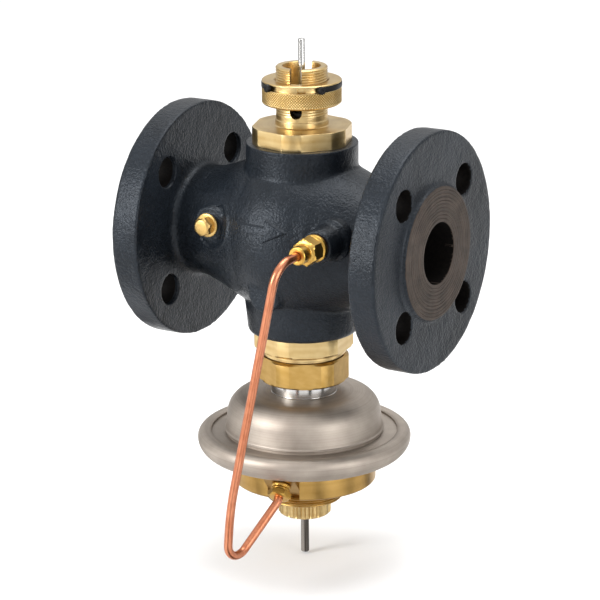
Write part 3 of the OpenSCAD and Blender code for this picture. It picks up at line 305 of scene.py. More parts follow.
# ---------------------------------------------------------------- shapes
def piece(name, points, faces, look, body, stands_for=(), sharp=28, place=None):
    """A mesh from points in millimetres, welded, with its sharp edges kept, riding on a body."""
    mesh = bpy.data.meshes.new(name)
    points = np.asarray(points, float) * MM
    mesh.from_pydata(points.tolist(), [], faces)
    work = bmesh.new()
    work.from_mesh(mesh)
    bmesh.ops.remove_doubles(work, verts=work.verts, dist=2e-6)
    bmesh.ops.dissolve_degenerate(work, edges=work.edges, dist=1e-6)
    bmesh.ops.recalc_face_normals(work, faces=work.faces)
    work.to_mesh(mesh)
    work.free()
    if place is not None:
        mesh.transform(place)
    made = bpy.data.objects.new(name, mesh)
    bpy.context.scene.collection.objects.link(made)
    shade(made, look, sharp)
    if body:
        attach(made, body)
    if stands_for:
        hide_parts(*stands_for)
    return made


def shade(made, look, sharp):
    made.data.materials.clear()
    for one in (look if isinstance(look, (list, tuple)) else [look]):
        made.data.materials.append(one)
    made.data.shade_smooth()
    made.data.set_sharp_from_angle(angle=math.radians(sharp))


def at_axis(x, y, z, axis=(0, 0, 1), turn=0.0):
    """Places a piece's own Z axis on an axis of the valve, sizes in millimetres. Its own X axis follows
    the pipe, or Y where the axis is the pipe's."""
    ahead = Vector(axis).normalized()
    first = Vector((1, 0, 0)) if abs(ahead.x) < 0.9 else Vector((0, 1, 0))
    first = (first - ahead * first.dot(ahead)).normalized()
    tilt = Matrix((first, ahead.cross(first), ahead)).transposed().to_4x4()
    return Matrix.Translation(Vector((x, y, z)) * MM) @ tilt @ Matrix.Rotation(math.radians(turn), 4, "Z")


def eased(outline, radius=0.3, steps=3):
    """A closed outline of (radius, height) or (radius, height, easing) with its corners rounded."""
    made = []
    count = len(outline)
    for i, corner in enumerate(outline):
        here = Vector(corner[:2])
        before, after = Vector(outline[i - 1][:2]), Vector(outline[(i + 1) % count][:2])
        ease = corner[2] if len(corner) > 2 else radius
        reach = min(ease, 0.45 * (before - here).length, 0.45 * (after - here).length)
        if reach < 0.01:
            made.append(tuple(here))
            continue
        start = here + (before - here).normalized() * reach
        end = here + (after - here).normalized() * reach
        for k in range(steps + 1):
            t = k / steps
            made.append(tuple(start * (1 - t) ** 2 + here * 2 * t * (1 - t) + end * t * t))
    return made


def arc(centre, radius, start, end, steps):
    """Points of an arc in an outline, angles in degrees."""
    return [(centre[0] + radius * math.cos(math.radians(start + (end - start) * i / steps)),
             centre[1] + radius * math.sin(math.radians(start + (end - start) * i / steps)), 0)
            for i in range(steps + 1)]


def rise(radius, low, high, step):
    """A straight side of an outline in short steps, for a thread or a knurl."""
    count = max(1, round(abs(high - low) / step))
    return [(radius, low + (high - low) * i / count, 0) for i in range(count + 1)]


def turned(name, outline, look, body, stands_for=(), steps=128, shapes=(), extra=(), sharp=28,
           place=None):
    """A closed outline turned about an axis. Shapes change the radius of each point in turn."""
    angles = sorted(set([round(TURN * i / steps, 7) for i in range(steps)] +
                        [round(a % TURN, 7) for a in extra]))
    count, around = len(outline), len(angles)
    points = []
    for a in angles:
        c, s = math.cos(a), math.sin(a)
        for corner in outline:
            r, z = corner[0], corner[1]
            for shape in shapes:
                r = shape(r, z, a)
            points.append((r * c, r * s, z))
    faces = []
    for i in range(around):
        j = (i + 1) % around
        for k in range(count):
            m = (k + 1) % count
            if outline[k][0] < 1e-6 and outline[m][0] < 1e-6:
                continue
            faces.append((i * count + k, j * count + k, j * count + m, i * count + m))
    if place is None:
        place = at_axis(STEM, 0, 0)
    return piece(name, points, faces, look, body, stands_for, sharp, place)


def flats(across, turn, low, high, ease=0.35):
    """Six flats milled on the heights from low to high, their edges eased. A corner points to turn."""
    def shape(r, z, a):
        if not low - 1e-6 <= z <= high + 1e-6:
            return r
        phi = (math.degrees(a) - turn) % 60 - 30
        inset = max(0.0, ease - min(z - low, high - z))
        return min(r, (across / 2 - inset) / math.cos(math.radians(phi)))
    return shape


def flat_edges(across, radius, turn):
    """Angles of the corners of six flats on a round of this radius, so that a ring of points lies there."""
    half = math.degrees(math.acos(min(1.0, across / 2 / radius)))
    found = []
    for i in range(6):
        middle = turn + 30 + 60 * i
        found += [math.radians(middle + half), math.radians(middle - half), math.radians(turn + 60 * i)]
    return found


def thread(radius, pitch, depth, low, high):
    """A right-handed screw thread cut into a round of this radius, running out at both ends."""
    def shape(r, z, a):
        if abs(r - radius) > 1e-4 or not low <= z <= high:
            return r
        phase = (z / pitch - a / TURN) % 1
        ridge = 0.5 - 0.5 * math.cos(TURN * phase)
        fade = min(1.0, (z - low) / pitch, (high - z) / pitch)
        return r - depth * ridge * fade
    return shape


def knurl(radius, count, pitch, depth, low, high):
    """Diamond knurl rolled into a round of this radius."""
    def shape(r, z, a):
        if abs(r - radius) > 1e-4 or not low <= z <= high:
            return r
        u = count * a / TURN + z / pitch
        v = count * a / TURN - z / pitch
        cut = max(abs(2 * (u % 1) - 1), abs(2 * (v % 1) - 1))
        return r - depth * max(0.0, cut - 0.35) / 0.65
    return shape


def flutes(count, width, radius, turn, low, high):
    """Round flutes along a round of this radius."""
    def shape(r, z, a):
        if r < radius - 1.6 or not low <= z <= high:
            return r
        step = TURN / count
        off = ((a - math.radians(turn) + step / 2) % step - step / 2) * radius
        if abs(off) >= width / 2:
            return r
        return min(r, radius - math.sqrt(max(0.0, (width / 2) ** 2 - off ** 2)))
    return shape


def block(low, high, place=None):
    """A box as points and faces, to cut or to join with."""
    points = [(x, y, z) for x in (low[0], high[0]) for y in (low[1], high[1]) for z in (low[2], high[2])]
    faces = [(0, 1, 3, 2), (4, 6, 7, 5), (0, 4, 5, 1), (2, 3, 7, 6), (0, 2, 6, 4), (1, 5, 7, 3)]
    return piece("tool", points, faces, BRASS, None, place=place)


def combine(target, tool, how, sharp=28):
    """Joins a tool to a piece or cuts it out, and takes the tool away."""
    step = target.modifiers.new("combine", "BOOLEAN")
    step.operation = how
    step.solver = "EXACT"
    step.object = tool
    bpy.context.view_layer.update()
    ready = target.evaluated_get(bpy.context.evaluated_depsgraph_get())
    mesh = bpy.data.meshes.new_from_object(ready)
    looks = list(target.data.materials)
    target.modifiers.clear()
    target.data = mesh
    bpy.data.objects.remove(tool)
    shade(target, looks, sharp)
    return target


# ---------------------------------------------------------------- casting
def smoothed_casting():
    """The casting's own solid with the round corners that the mould leaves: fillets of about 4 mm in
    its hollows, 1 mm on its edges, and a slightly wavy skin."""
    source = bpy.data.objects.new("casting", nodes["valve_body"].data.copy())
    bpy.context.scene.collection.objects.link(source)
    step = source.modifiers.new("cells", "REMESH")
    step.mode = "VOXEL"
    step.voxel_size = 0.95 * MM
    bpy.context.view_layer.update()
    ready = source.evaluated_get(bpy.context.evaluated_depsgraph_get())
    mesh = bpy.data.meshes.new_from_object(ready)
    source.modifiers.clear()
    source.data = mesh
    count = len(mesh.vertices)
    co = np.empty(count * 3, np.float64)
    mesh.vertices.foreach_get("co", co)
    co = co.reshape(-1, 3) / MM
    ends = np.empty(len(mesh.edges) * 2, np.int32)
    mesh.edges.foreach_get("vertices", ends)
    first, second = ends[0::2], ends[1::2]
    share = np.bincount(first, minlength=count) + np.bincount(second, minlength=count)

    def average(values):
        total = np.stack([np.bincount(first, values[second, k], count) +
                          np.bincount(second, values[first, k], count) for k in range(3)], 1)
        return total / share[:, None]

    def normals():
        mesh.vertices.foreach_set("co", (co * MM).ravel())
        mesh.update()
        found = np.empty(count * 3, np.float32)
        mesh.vertex_normals.foreach_get("vector", found)
        return found.reshape(-1, 3)

    across = np.hypot(co[:, 1], co[:, 2])
    hole = np.hypot(np.abs(co[:, 1]) - BOLT, np.abs(co[:, 2]) - BOLT) < 11
    hole &= (co[:, 0] < 21) | (co[:, 0] > 159)
    fixed = hole | (across < 20.5)
    beside = np.hypot(np.abs(co[:, 0] - STEM) - TAP_OUT, co[:, 2] - TAP_UP)
    fixed |= (beside < 6.5) & (co[:, 1] < -25)
    shallow = (beside < 11) & (co[:, 1] < -25)
    shallow |= (np.abs(co[:, 0] - STEM) < 14) & (co[:, 2] < -12) & (co[:, 2] > -44) & (co[:, 1] < -25)
    for turn in range(110):
        if turn % 5 == 0:
            outward = normals()
        lean = average(co) - co
        hollow = (lean * outward).sum(1)
        lift = np.clip(hollow - 0.055, 0, None) * 0.85
        lift[fixed] = 0
        if turn >= 22:
            lift[shallow] = 0
        co += outward * lift[:, None]
    for _ in range(3):
        lean = average(co) - co
        lean[fixed] *= 0.25
        co += lean * 0.5
    outward = normals()
    wave = np.array([noise.noise(Vector(p) * 0.09) * 0.16 + noise.noise(Vector(p) * 0.3) * 0.05 for p in co])
    wave[fixed] = 0
    co += outward * wave[:, None]
    # Spot face round the plug: a shallow round dent with a soft raised edge
    across = np.hypot(co[:, 1], co[:, 2])
    beside = np.hypot(co[:, 0] - (STEM - TAP_OUT), co[:, 2] - TAP_UP)
    dent = np.clip((14.0 - beside) / 1.6, 0, 1)
    dent *= dent * (3 - 2 * dent) * (beside > 6.5) * (co[:, 1] < -36)
    lip = np.exp(-((beside - 14.6) / 0.9) ** 2) * (co[:, 1] < -36) * (co[:, 0] > 44)
    co[:, 1] += dent * 0.9 - lip * 0.5
    # The raised faces are set back behind the turned rings that cover them
    face = (across < 38.8) & (np.abs(co[:, 0] - STEM) > STEM - 1.3)
    co[face, 0] = STEM + np.sign(co[face, 0] - STEM) * (STEM - 0.4)
    normals()
    return source


casting = smoothed_casting()
shade(casting, [PAINT, BARE_IRON_AND_SHADE], 60)
middles = np.empty(len(casting.data.polygons) * 3, np.float64)
casting.data.polygons.foreach_get("center", middles)
middles = middles.reshape(-1, 3) / MM
bolts = np.hypot(np.abs(middles[:, 1]) - BOLT, np.abs(middles[:, 2]) - BOLT) < 9.35
bolts &= np.abs(middles[:, 0] - STEM) > 72
# Bolt holes, the port and the inside of both necks have no paint, and their iron is drawn near black with
# little shine: painted shade inside them
bare = bolts | (np.hypot(middles[:, 1], middles[:, 2]) < 19.2) | (
    (np.hypot(middles[:, 0] - STEM, middles[:, 1]) < 24.6) & (np.abs(middles[:, 2]) < 54.6))
casting.data.polygons.foreach_set("material_index", bare.astype(np.int32))
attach(casting, "valve")
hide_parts("valve_body")


def flow_arrow():
    """Plain flow arrow cast on the front of the belly, 34 mm long and 1.5 mm high, with rounded slopes. It
    lies on the casting's own skin, and its border runs 0.7 mm below it."""
    step, wide, tall = 0.4, 19.0, 8.0
    across, down = np.arange(-wide, wide + step, step), np.arange(-tall, tall + step, step)
    bpy.context.view_layer.update()
    ahead = Vector((0, 1, 0))
    skin = np.array([[casting.ray_cast(Vector((STEM + u, -90, 13.0 + v)) * MM, ahead)[1].y / MM
                      for u in across] for v in down])
    for _ in range(6):
        skin[1:-1, 1:-1] = (skin[:-2, 1:-1] + skin[2:, 1:-1] + skin[1:-1, :-2] + skin[1:-1, 2:]) / 4
    u, v = np.meshgrid(across, down)
    shaft = np.minimum(np.minimum(u + 17.0, 5.0 - u), 2.6 - np.abs(v))
    head = np.minimum(u - 3.0, (17.0 - u) * 0.5 - np.abs(v)) / 1.12
    slope = np.clip((np.maximum(shaft, head) + 0.45) / 1.1, 0, 1)
    high = -0.7 + 2.2 * slope * slope * (3 - 2 * slope)
    points = np.stack([STEM + u, skin - high, 13.0 + v], -1).reshape(-1, 3)
    columns = len(across)
    faces = [(r * columns + c, r * columns + c + 1, (r + 1) * columns + c + 1, (r + 1) * columns + c)
             for r in range(len(down) - 1) for c in range(columns - 1)
             if high[r:r + 2, c:c + 2].max() > -0.69]
    return piece("flow_arrow", points, faces, PAINT, "valve", (), 60)


flow_arrow()


def sealing_face(name, x, side):
    """Raised face cut on the lathe: shallow ring grooves for the gasket, 2 mm apart."""
    outline = [(18.0, 6.0), (18.0, 0.0, 0.5)]
    for i in range(9):
        r = 20.2 + 2.05 * i
        outline += [(r - 0.35, 0.0, 0), (r, 0.3, 0), (r + 0.35, 0.0, 0)]
    outline += [(38.5, 0.0, 0.4), (38.7, 0.9, 0), (30.0, 6.0, 0)]
    turned(name, eased(outline, 0.2), FACED_IRON, "valve", (), 160,
           place=at_axis(x, 0, 0, (side, 0, 0)), sharp=20)


sealing_face("inlet_sealing_face", 0, 1)
sealing_face("outlet_sealing_face", 180, -1)

# The top of the neck is faced before it is painted, so its edge is crisp
turned("neck_rim", eased([(27.0, 50.0), (27.0, 54.98), (32.3, 54.98, 0.4), (32.62, 54.2, 0.4),
                          (32.45, 50.0)], 0.3), PAINT, "valve", (), 160)

# ---------------------------------------------------------------- bonnet, ring, clip and stem
bonnet_outline = eased([(4.1, 36.0), (4.1, 39.0), (8.0, 39.0), (8.0, 45.0), (11.0, 45.0), (11.0, 99.6, 0.5)]
                       + [(14.2, 99.6, 0.1)] + rise(15.0, 98.8, 69.4, 0.15)
                       + [(15.0, 68.9), (15.4, 68.5, 0.4), (15.4, 65.6, 0), (15.9, 65.0, 0.5)]
                       + [(29.0, 65.0, 0.25), (29.0, 55.0, 0.2)]
                       + [(23.9, 55.0), (23.9, 36.0)], 0.25)
bonnet = turned("bonnet_bar", bonnet_outline, BRASS, None, (), 144,
                (flats(55, -11.5, 55.0, 65.0, 0.2), thread(15.0, 1.5, 0.62, 78.6, 98.8),
                 thread(15.0, 1.5, 0.2, 71.0, 78.2)), flat_edges(55, 29, -11.5), 17)
slot_place = at_axis(STEM, 0, 0, turn=-73)
combine(bonnet, block((-40, -3.5, 74.5), (40, 3.5, 120), slot_place), "DIFFERENCE", 24)
# The slot's floor is round, as the cutter leaves it
drill = turned("tool", [(0, -40), (3.5, -40), (3.5, 40), (0, 40)], BRASS, None, steps=48,
               place=slot_place @ Matrix.Translation((0, 0, 74.5 * MM)) @ Matrix.Rotation(TURN / 4, 4, "Y"))
combine(bonnet, drill, "DIFFERENCE", 24)
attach(bonnet, "valve")
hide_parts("bonnet")

ring_outline = eased([(17.9, 77.8), (22.2, 77.8, 0.3), (23.0, 78.7, 0.3)] + rise(23.0, 79.0, 87.1, 0.27)
                     + [(22.8, 87.4, 0), (21.0, 87.4, 0.15), (21.0, 90.8, 0.15), (23.0, 90.8, 0.2),
                        (23.0, 91.4, 0.2), (22.4, 91.8, 0.2), (16.2, 91.8, 0.2), (15.1, 91.0, 0.2),
                        (15.1, 85.3), (17.9, 85.3)], 0.2)


def pocket(r, z, a):
    """Pocket milled into the groove between the knobs of the clip."""
    off = (math.degrees(a) + 60 + 180) % 360 - 180
    return min(r, 19.4) if abs(off) < 6.0 and 87.5 < z < 90.7 and r < 22 else r


ring = turned("knurled_setting_ring", ring_outline, [BRASS, SHADED_GROOVE_BRASS], "setting", ("setting_ring",),
              720, (knurl(23.0, 90, 1.6, 0.36, 79.0, 87.1), pocket), sharp=50)
spots = np.empty(len(ring.data.polygons) * 3)
ring.data.polygons.foreach_get("center", spots)
spots = spots.reshape(-1, 3) / MM
# The bottoms of the knurl's grooves get a darker brass: painted shade in the grooves
reach = np.hypot(spots[:, 0] - STEM, spots[:, 1])
deep = (reach < 22.82) & (reach > 22.3) & (spots[:, 2] > 79.2) & (spots[:, 2] < 87.0)
ring.data.polygons.foreach_set("material_index", deep.astype(np.int32))


def clip():
    """Open ring of black plastic in the groove, with a round knob at either end."""
    section = eased([(21.1, 87.55), (23.3, 87.55), (23.3, 90.65), (21.1, 90.65)], 0.5)
    steps = 120
    points, faces = [], []
    for i in range(steps + 1):
        a = math.radians(-31 + 276 * i / steps)
        points += [(r * math.cos(a), r * math.sin(a), z) for r, z in section]
    n = len(section)
    for i in range(steps):
        faces += [(i * n + k, (i + 1) * n + k, (i + 1) * n + (k + 1) % n, i * n + (k + 1) % n)
                  for k in range(n)]
    faces += [tuple(range(n)), tuple(steps * n + k for k in reversed(range(n)))]
    piece("clip_ring", points, faces, BLACK, "setting", ("lock_clip",),
          place=at_axis(STEM, 0, 0))
    for name, a in (("clip_knob_right", -31), ("clip_knob_left", 245)):
        c, s = math.cos(math.radians(a)), math.sin(math.radians(a))
        outline = eased([(0, 0, 0), (2.3, 0, 0), (2.3, 2.4, 0.7), (0.9, 2.4, 0.2), (0.7, 1.9, 0.2),
                         (0, 1.9, 0)], 0.2, 4)
        turned(name, outline, BLACK, "setting", (), 40,
               place=at_axis(STEM + 22.6 * c, 22.6 * s, 89.1, (c, s, 0)))


clip()
turned("control_stem_pin", eased([(0, 25.3, 0), (4.0, 25.3), (4.0, 71.2), (2.5, 73.0),
                                  (2.5, 85.3), (2.0, 85.3), (2.0, 114.7), (1.5, 115.2), (0, 115.2, 0)], 0.15),
       BRIGHT, "control", ("control_stem",), 64)
# The collar is drawn near black: painted shade for the dark inside of the slot
turned("control_stem_collar", eased([(2.4, 71.2), (10.4, 71.2, 0.3), (10.4, 73.7, 0.5), (2.4, 73.7)], 0.15),
       NEAR_BLACK_SHADE_STEEL, "control", (), 96)

# ---------------------------------------------------------------- insert, union and neck
insert_outline = eased([(4.1, -39.1), (4.1, -42.1), (7.0, -42.1), (7.0, -58.1), (12.0, -58.1), (12.0, -79.7)]
                       + [(21.9, -79.7, 0.2)] + rise(22.5, -79.2, -73.4, 0.2)
                       + [(22.5, -72.6), (24.2, -72.4, 0.1), (24.2, -71.6, 0.2), (25.2, -71.3, 0.2),
                          (25.2, -69.9, 0.2), (24.6, -69.6, 0.1), (24.6, -68.9, 0.2), (28.2, -68.7, 0.1),
                          (29.3, -67.6, 0.15), (29.3, -58.1, 0.15), (23.9, -58.1), (23.9, -39.1)], 0.25)
turned("insert_disc", insert_outline, BRASS, "valve", ("valve_insert",), 144,
       (flats(54, -23.5, -68.8, -58.0, 0.15), thread(22.5, 1.5, 0.7, -79.2, -73.4)),
       flat_edges(54, 29.3, -23.5), 17)
nut_outline = eased([(22.6, -72.9), (22.6, -84.7), (19.25, -84.7), (19.25, -88.5, 0.4), (25.0, -88.5, 0.1),
                     (26.7, -87.3, 0.2), (26.7, -74.1, 0.2), (25.0, -72.9, 0.1)], 0.25)
turned("union_hexagon_nut", nut_outline, MILLED, "valve", ("union_nut",), 144,
       (flats(50, -27.3, -88.5, -72.9, 0.15),), flat_edges(50, 26.7, -27.3), 17)
turned("bright_neck", eased([(12, -80.7), (22.4, -80.7), (22.4, -84.6), (19.15, -84.6, 0), (19.15, -96.0, 0.4),
                             (19.6, -96.3, 0), (19.6, -98.2, 0), (12, -98.2)], 0.2),
       BRIGHT, "valve", ("unit_neck",), 128)

# ---------------------------------------------------------------- diaphragm unit
bell = ([(19.25, -98.2, 0), (19.25, -96.2, 0.3)] + arc((32.0, -109.7), 13.5, 90, 4, 18)
        + [(46.6, -117.9, 0.6), (47.35, -118.6, 0.2), (47.35, -118.9, 0.1), (45.4, -118.9, 0.1),
           (44.6, -117.6, 0.4)]
        + arc((32.0, -109.7), 11.5, 0, 90, 14))
turned("drawn_bell", eased(bell, 0.3, 4), SATIN, "valve", ("upper_housing",), 192, sharp=40)
turned("clamp_plate", eased([(40, -118.9, 0), (46.3, -118.9, 0), (46.3, -120.9, 0.3), (57.4, -121.2, 0.3),
                             (57.4, -124.0, 0.2), (40, -124.0, 0.2)], 0.3),
       SATIN, "valve", ("clamp_ring",), 192)
rim = ([(55.3, -121.1, 0.1)] + arc((58.3, -124.1), 5.0, 126.87, 0, 20) + arc((53.3, -124.1), 10.0, -4, -90, 20)
       + [(36.0, -134.1), (36.0, -132.1), (48.0, -132.1), (50.0, -130.1), (50.0, -125.6), (57.6, -125.6),
          (57.6, -121.1)])
turned("rolled_rim", eased(rim, 0.3), SATIN, "valve", ("lower_housing",), 192, sharp=40)

# ---------------------------------------------------------------- base, its fitting and the collar
# The lower fitting's axis leaves the base forwards and down at 45 degrees
lean = math.radians(-76.5)
out = Vector((math.cos(lean), math.sin(lean), 0))
fit_axis = (out - Vector((0, 0, 1))).normalized()
fit_spot = Vector((STEM, 0, -140.6)) + out * 45.0
side = Vector((0, 0, 1)).cross(out)
fit_in = side.cross(fit_axis)
fit_place = Matrix((
    (fit_in.x, side.x, fit_axis.x, fit_spot.x * MM), (fit_in.y, side.y, fit_axis.y, fit_spot.y * MM),
    (fit_in.z, side.z, fit_axis.z, fit_spot.z * MM), (0, 0, 0, 1)))
base_outline = eased([(3.0, -162.8), (3.0, -134.3, 0), (34.0, -134.3, 0), (34.0, -134.1, 0),
                      (42.5, -134.1, 0.1), (42.5, -149.9, 0.2), (41.5, -150.9, 0.2),
                      (22.6, -150.9, 0.3), (22.1, -151.6, 0.2)]
                     + rise(22.4, -152.2, -162.2, 0.22) + [(21.8, -162.8, 0.1)], 0.25)
base = turned("base_turned", base_outline, DULL_BRASS, None, (), 160,
              (thread(22.4, 1.5, 0.75, -162.2, -152.2),), sharp=24)


def wedge():
    """Boss for the lower fitting: level top, upright sides and a face sloping at 45 degrees."""
    profile = [(30.0, -136.1), (49.5, -136.1), (36.5, -149.1), (30.0, -149.1)]
    points = [tuple(Vector((STEM, 0, z)) + out * r + side * w) for w in (-9.7, 9.7) for r, z in profile]
    faces = [(0, 1, 2, 3), (7, 6, 5, 4), (0, 4, 5, 1), (1, 5, 6, 2), (2, 6, 7, 3), (3, 7, 4, 0)]
    return piece("tool", points, faces, DULL_BRASS, None)


combine(base, wedge(), "UNION", 24)
combine(base, block((-9.2, -9.7, 0.0), (13.0, 9.7, 16.8), fit_place), "DIFFERENCE", 24)
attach(base, "valve")
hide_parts("base_housing")
soften = base.modifiers.new("eased_edges", "BEVEL")
soften.width = 0.3 * MM
soften.segments = 2
soften.limit_method = "ANGLE"
soften.angle_limit = math.radians(50)

collar_outline = eased([(3.0, -173.0), (14.6, -173.0, 0.1)] + rise(15.75, -172.0, -163.4, 1.4)
                       + [(15.2, -162.8, 0.1), (12.0, -162.8), (12.0, -158.0), (3.0, -158.0)], 0.25)
turned("fluted_collar_turned", collar_outline,
       BRASS, "valve", ("fluted_collar",), 400,
       (flutes(20, 3.0, 15.75, -90 + 9, -172.2, -162.8),), sharp=30)
turned("lower_stem_pin", eased([(0, -198.8, 0), (1.84, -198.8), (2.45, -198.2), (2.45, -173.3), (2.9, -173.3),
                                (2.9, -128.1), (4.0, -128.1), (4.0, -23.55), (0, -23.55, 0)], 0.15),
       DARK_STEEL, "regulator", ("regulator_stem",), 64)


# ---------------------------------------------------------------- fittings, plug and copper tube
def hex_piece(name, outline, across, look, node, low, high, place, turn):
    """A small turned piece with six flats on the heights from low to high."""
    radius = max(r for r, *_ in outline)
    turned(name, eased(outline, 0.2), look, "valve", (node,), 96,
           (flats(across, turn, low, high, 0.2),), flat_edges(across, radius, turn), 24, place)


upper_place = at_axis(STEM + TAP_OUT, -40.0, TAP_UP, (0, -1, 0))
plug_place = at_axis(STEM - TAP_OUT, -40.0, TAP_UP, (0, -1, 0))
# The outlet boss stands out further than the inlet one; collar, hexagon and sleeve of the fitting follow
turned("outlet_boss", eased([(4.2, -14.0), (4.2, 11.5), (9.2, 11.5, 1.0), (9.9, 9.5, 0), (10.3, -1.0, 2.0),
                             (12.8, -3.5, 1.0), (12.8, -14.0)], 0.4, 5),
       PAINT, "valve", (), 96, place=upper_place)
turned("copper_washer_upper", eased([(4.3, 11.5), (7.6, 11.5), (7.6, 12.6), (4.3, 12.6)], 0.3), COPPER, "valve",
       ("connector_washer",), 64, place=upper_place)
turned("connector_collar", eased([(1.5, -8), (3.9, -8), (3.9, 12.6, 0), (8.0, 12.6, 0.3), (8.0, 14.4, 0.5),
                                  (6.6, 15.2, 0.3), (6.6, 16.0), (3.6, 16.0), (3.6, 18.4), (2.6, 18.4),
                                  (2.6, 9.5), (1.5, 9.5)], 0.2), FITTING_BRASS, "valve", ("upper_connector",),
       96, place=upper_place)
hex_piece("tube_nut_upper", [(3.9, 16.0), (3.9, 20.3), (2.6, 20.3), (2.6, 33.0, 0.6), (4.9, 33.0, 0.4),
                             (5.35, 32.3, 0.2), (5.35, 26.6, 0.2), (5.0, 26.2, 0.2), (5.0, 25.4, 0.2),
                             (5.6, 24.9, 0.1), (6.9, 24.6, 0), (8.083, 23.9, 0.1), (8.083, 16.6, 0.1),
                             (7.0, 16.0, 0.1)],
          14, FITTING_BRASS, "upper_tube_nut", 16.0, 24.6, upper_place, 38)
turned("copper_washer_plug", eased([(4.2, 0), (6.3, 0), (6.3, 0.75), (4.2, 0.75)], 0.2), COPPER, "valve",
       ("plug_washer",), 64, place=plug_place)
hex_piece("plug_hexagon", [(0, -8, 0), (3.9, -8), (3.9, 0.75), (7.0, 0.75, 0.3), (7.0, 2.1, 0.4),
                           (6.2, 2.35, 0.2), (5.77, 2.35, 0), (5.77, 6.6, 0.3), (4.2, 8.2, 0.6),
                           (1.4, 8.35, 0.4), (0, 8.35, 0)],
          10, PLUG_BRASS, "port_plug", 2.35, 8.35, plug_place, 18)
LOWER_BRASS = brass("lower_fitting_brass", tuple(fit_spot), tuple(fit_axis), "#B28838", "#D6AE5E", 0.22, 0.36)
barrel_outline = eased([(1.5, -4.5), (3.9, -4.5), (3.9, 0.0), (5.0, 0.0, 0.1), (5.7, 0.5, 0.1),
                        (5.7, 1.5, 0.3), (5.1, 1.9, 0.2), (5.1, 2.4, 0.2), (5.7, 2.8, 0.3), (5.7, 3.7, 0.2),
                        (5.2, 4.0, 0.1), (3.6, 4.0), (3.6, 5.7), (2.6, 5.7), (2.6, 2.1), (1.5, 2.1)], 0.2)
turned("lower_barrel", barrel_outline, LOWER_BRASS, "valve", ("lower_connector",), 64, place=fit_place)
hex_piece("tube_nut_lower", [(3.9, 4.0), (3.9, 7.4), (2.6, 7.4), (2.6, 8.4, 0.3), (4.8, 8.4, 0.2),
                             (6.0, 8.0, 0.1), (6.928, 7.4, 0.1), (6.928, 4.6, 0.1), (6.0, 4.0, 0.1)],
          12, LOWER_BRASS, "lower_tube_nut", 4.0, 8.4, fit_place, 20)


def tube_path():
    """Middle line of the copper tube: straight runs joined by round bends, in millimetres."""
    def on_fitting(s):
        return fit_spot + fit_axis * s
    start_x = STEM + TAP_OUT
    corners = [Vector((start_x, -58.4, TAP_UP)), Vector((start_x, -94.2, TAP_UP)),
               Vector((96.2, -92.9, -140.1)), Vector((92.6, -92.5, -181.2)), on_fitting(10.6), on_fitting(2.1)]
    bends = [12.6, 205.0, 9.3, 9.0]
    path = [corners[0]]
    for i in range(1, 5):
        a, b, c = corners[i - 1:i + 2]
        toward, away = (a - b).normalized(), (c - b).normalized()
        bend = math.pi - toward.angle(away)
        reach = bends[i - 1] * math.tan(bend / 2)
        middle = b + (toward + away).normalized() * bends[i - 1] / math.cos(bend / 2)
        start = b + toward * reach - middle
        axis = (b - a).cross(c - b).normalized()
        steps = 24 if i != 2 else 16
        path += [middle + Matrix.Rotation(bend * k / steps, 3, axis) @ start for k in range(steps + 1)]
    return path + [corners[5]]


def copper_tube():
    """Round tube of 5 mm swept along its middle line, and closed at both ends inside its fittings."""
    path = tube_path()
    fine = []
    for a, b in zip(path, path[1:]):
        parts = max(1, math.ceil((b - a).length / 6.0))
        fine += [a.lerp(b, k / parts) for k in range(parts)]
    fine.append(path[-1])
    around = 32
    points, faces = [], []
    guide = Vector((1, 0, 0))
    for i, p in enumerate(fine):
        ahead = (fine[min(i + 1, len(fine) - 1)] - fine[max(i - 1, 0)]).normalized()
        guide = (guide - ahead * guide.dot(ahead)).normalized()
        other = ahead.cross(guide)
        for k in range(around):
            a = TURN * k / around
            points.append(tuple(p + (guide * math.cos(a) + other * math.sin(a)) * 2.5))
    for i in range(len(fine) - 1):
        faces += [(i * around + k, i * around + (k + 1) % around, (i + 1) * around + (k + 1) % around,
                   (i + 1) * around + k) for k in range(around)]
    faces += [tuple(reversed(range(around))), tuple((len(fine) - 1) * around + k for k in range(around))]
    piece("copper_tube", points, faces, COPPER, "valve", ("impulse_tube",), 60)


copper_tube()

# ---------------------------------------------------------------- springs
def coil_spring(name, node, wire, turns):
    """Round wire wound from one seat to the other, closed at both ends."""
    low, high = (np.array(v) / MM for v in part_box(node))
    mean = (high[0] - low[0]) / 2 - wire / 2
    first, last = low[2] + wire / 2, high[2] - wire / 2
    steps, around = 40 * turns, 12
    points, faces = [], []
    for i in range(steps + 1):
        t = i / steps
        a = TURN * turns * t
        z = first + (last - first) * t
        for k in range(around):
            b = TURN * k / around
            r = mean + wire / 2 * math.cos(b)
            points.append((STEM + r * math.cos(a), r * math.sin(a), z + wire / 2 * math.sin(b)))
    for i in range(steps):
        faces += [(i * around + k, i * around + (k + 1) % around, (i + 1) * around + (k + 1) % around,
                   (i + 1) * around + k) for k in range(around)]
    faces += [tuple(reversed(range(around))), tuple(steps * around + k for k in range(around))]
    made = piece(name, points, faces, WIRE, "valve", (node,), 60)
    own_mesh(made)


coil_spring("stem_return_spring", "control_spring", 1.4, 5)
coil_spring("diaphragm_spring", "regulator_spring", 2.6, 4)

# ---------------------------------------------------------------- pieces kept as they are in CAD
kept = {
    BRASS: ["packing_gland", "upper_ferrule", "lower_ferrule"],
    STAINLESS: ["control_seat", "control_plug", "stroke_limiter", "regulator_seat", "regulator_plug"],
    BRIGHT: ["upper_plate", "lower_plate"],
    RUBBER: ["bonnet_seal", "stem_packing", "insert_seal", "insert_stem_seal", "diaphragm", "pin_seal"],
    FIBRE: ["union_gasket"]}
for look, names in kept.items():
    for name in names:
        nodes[name].data.materials.clear()
        nodes[name].data.materials.append(look)

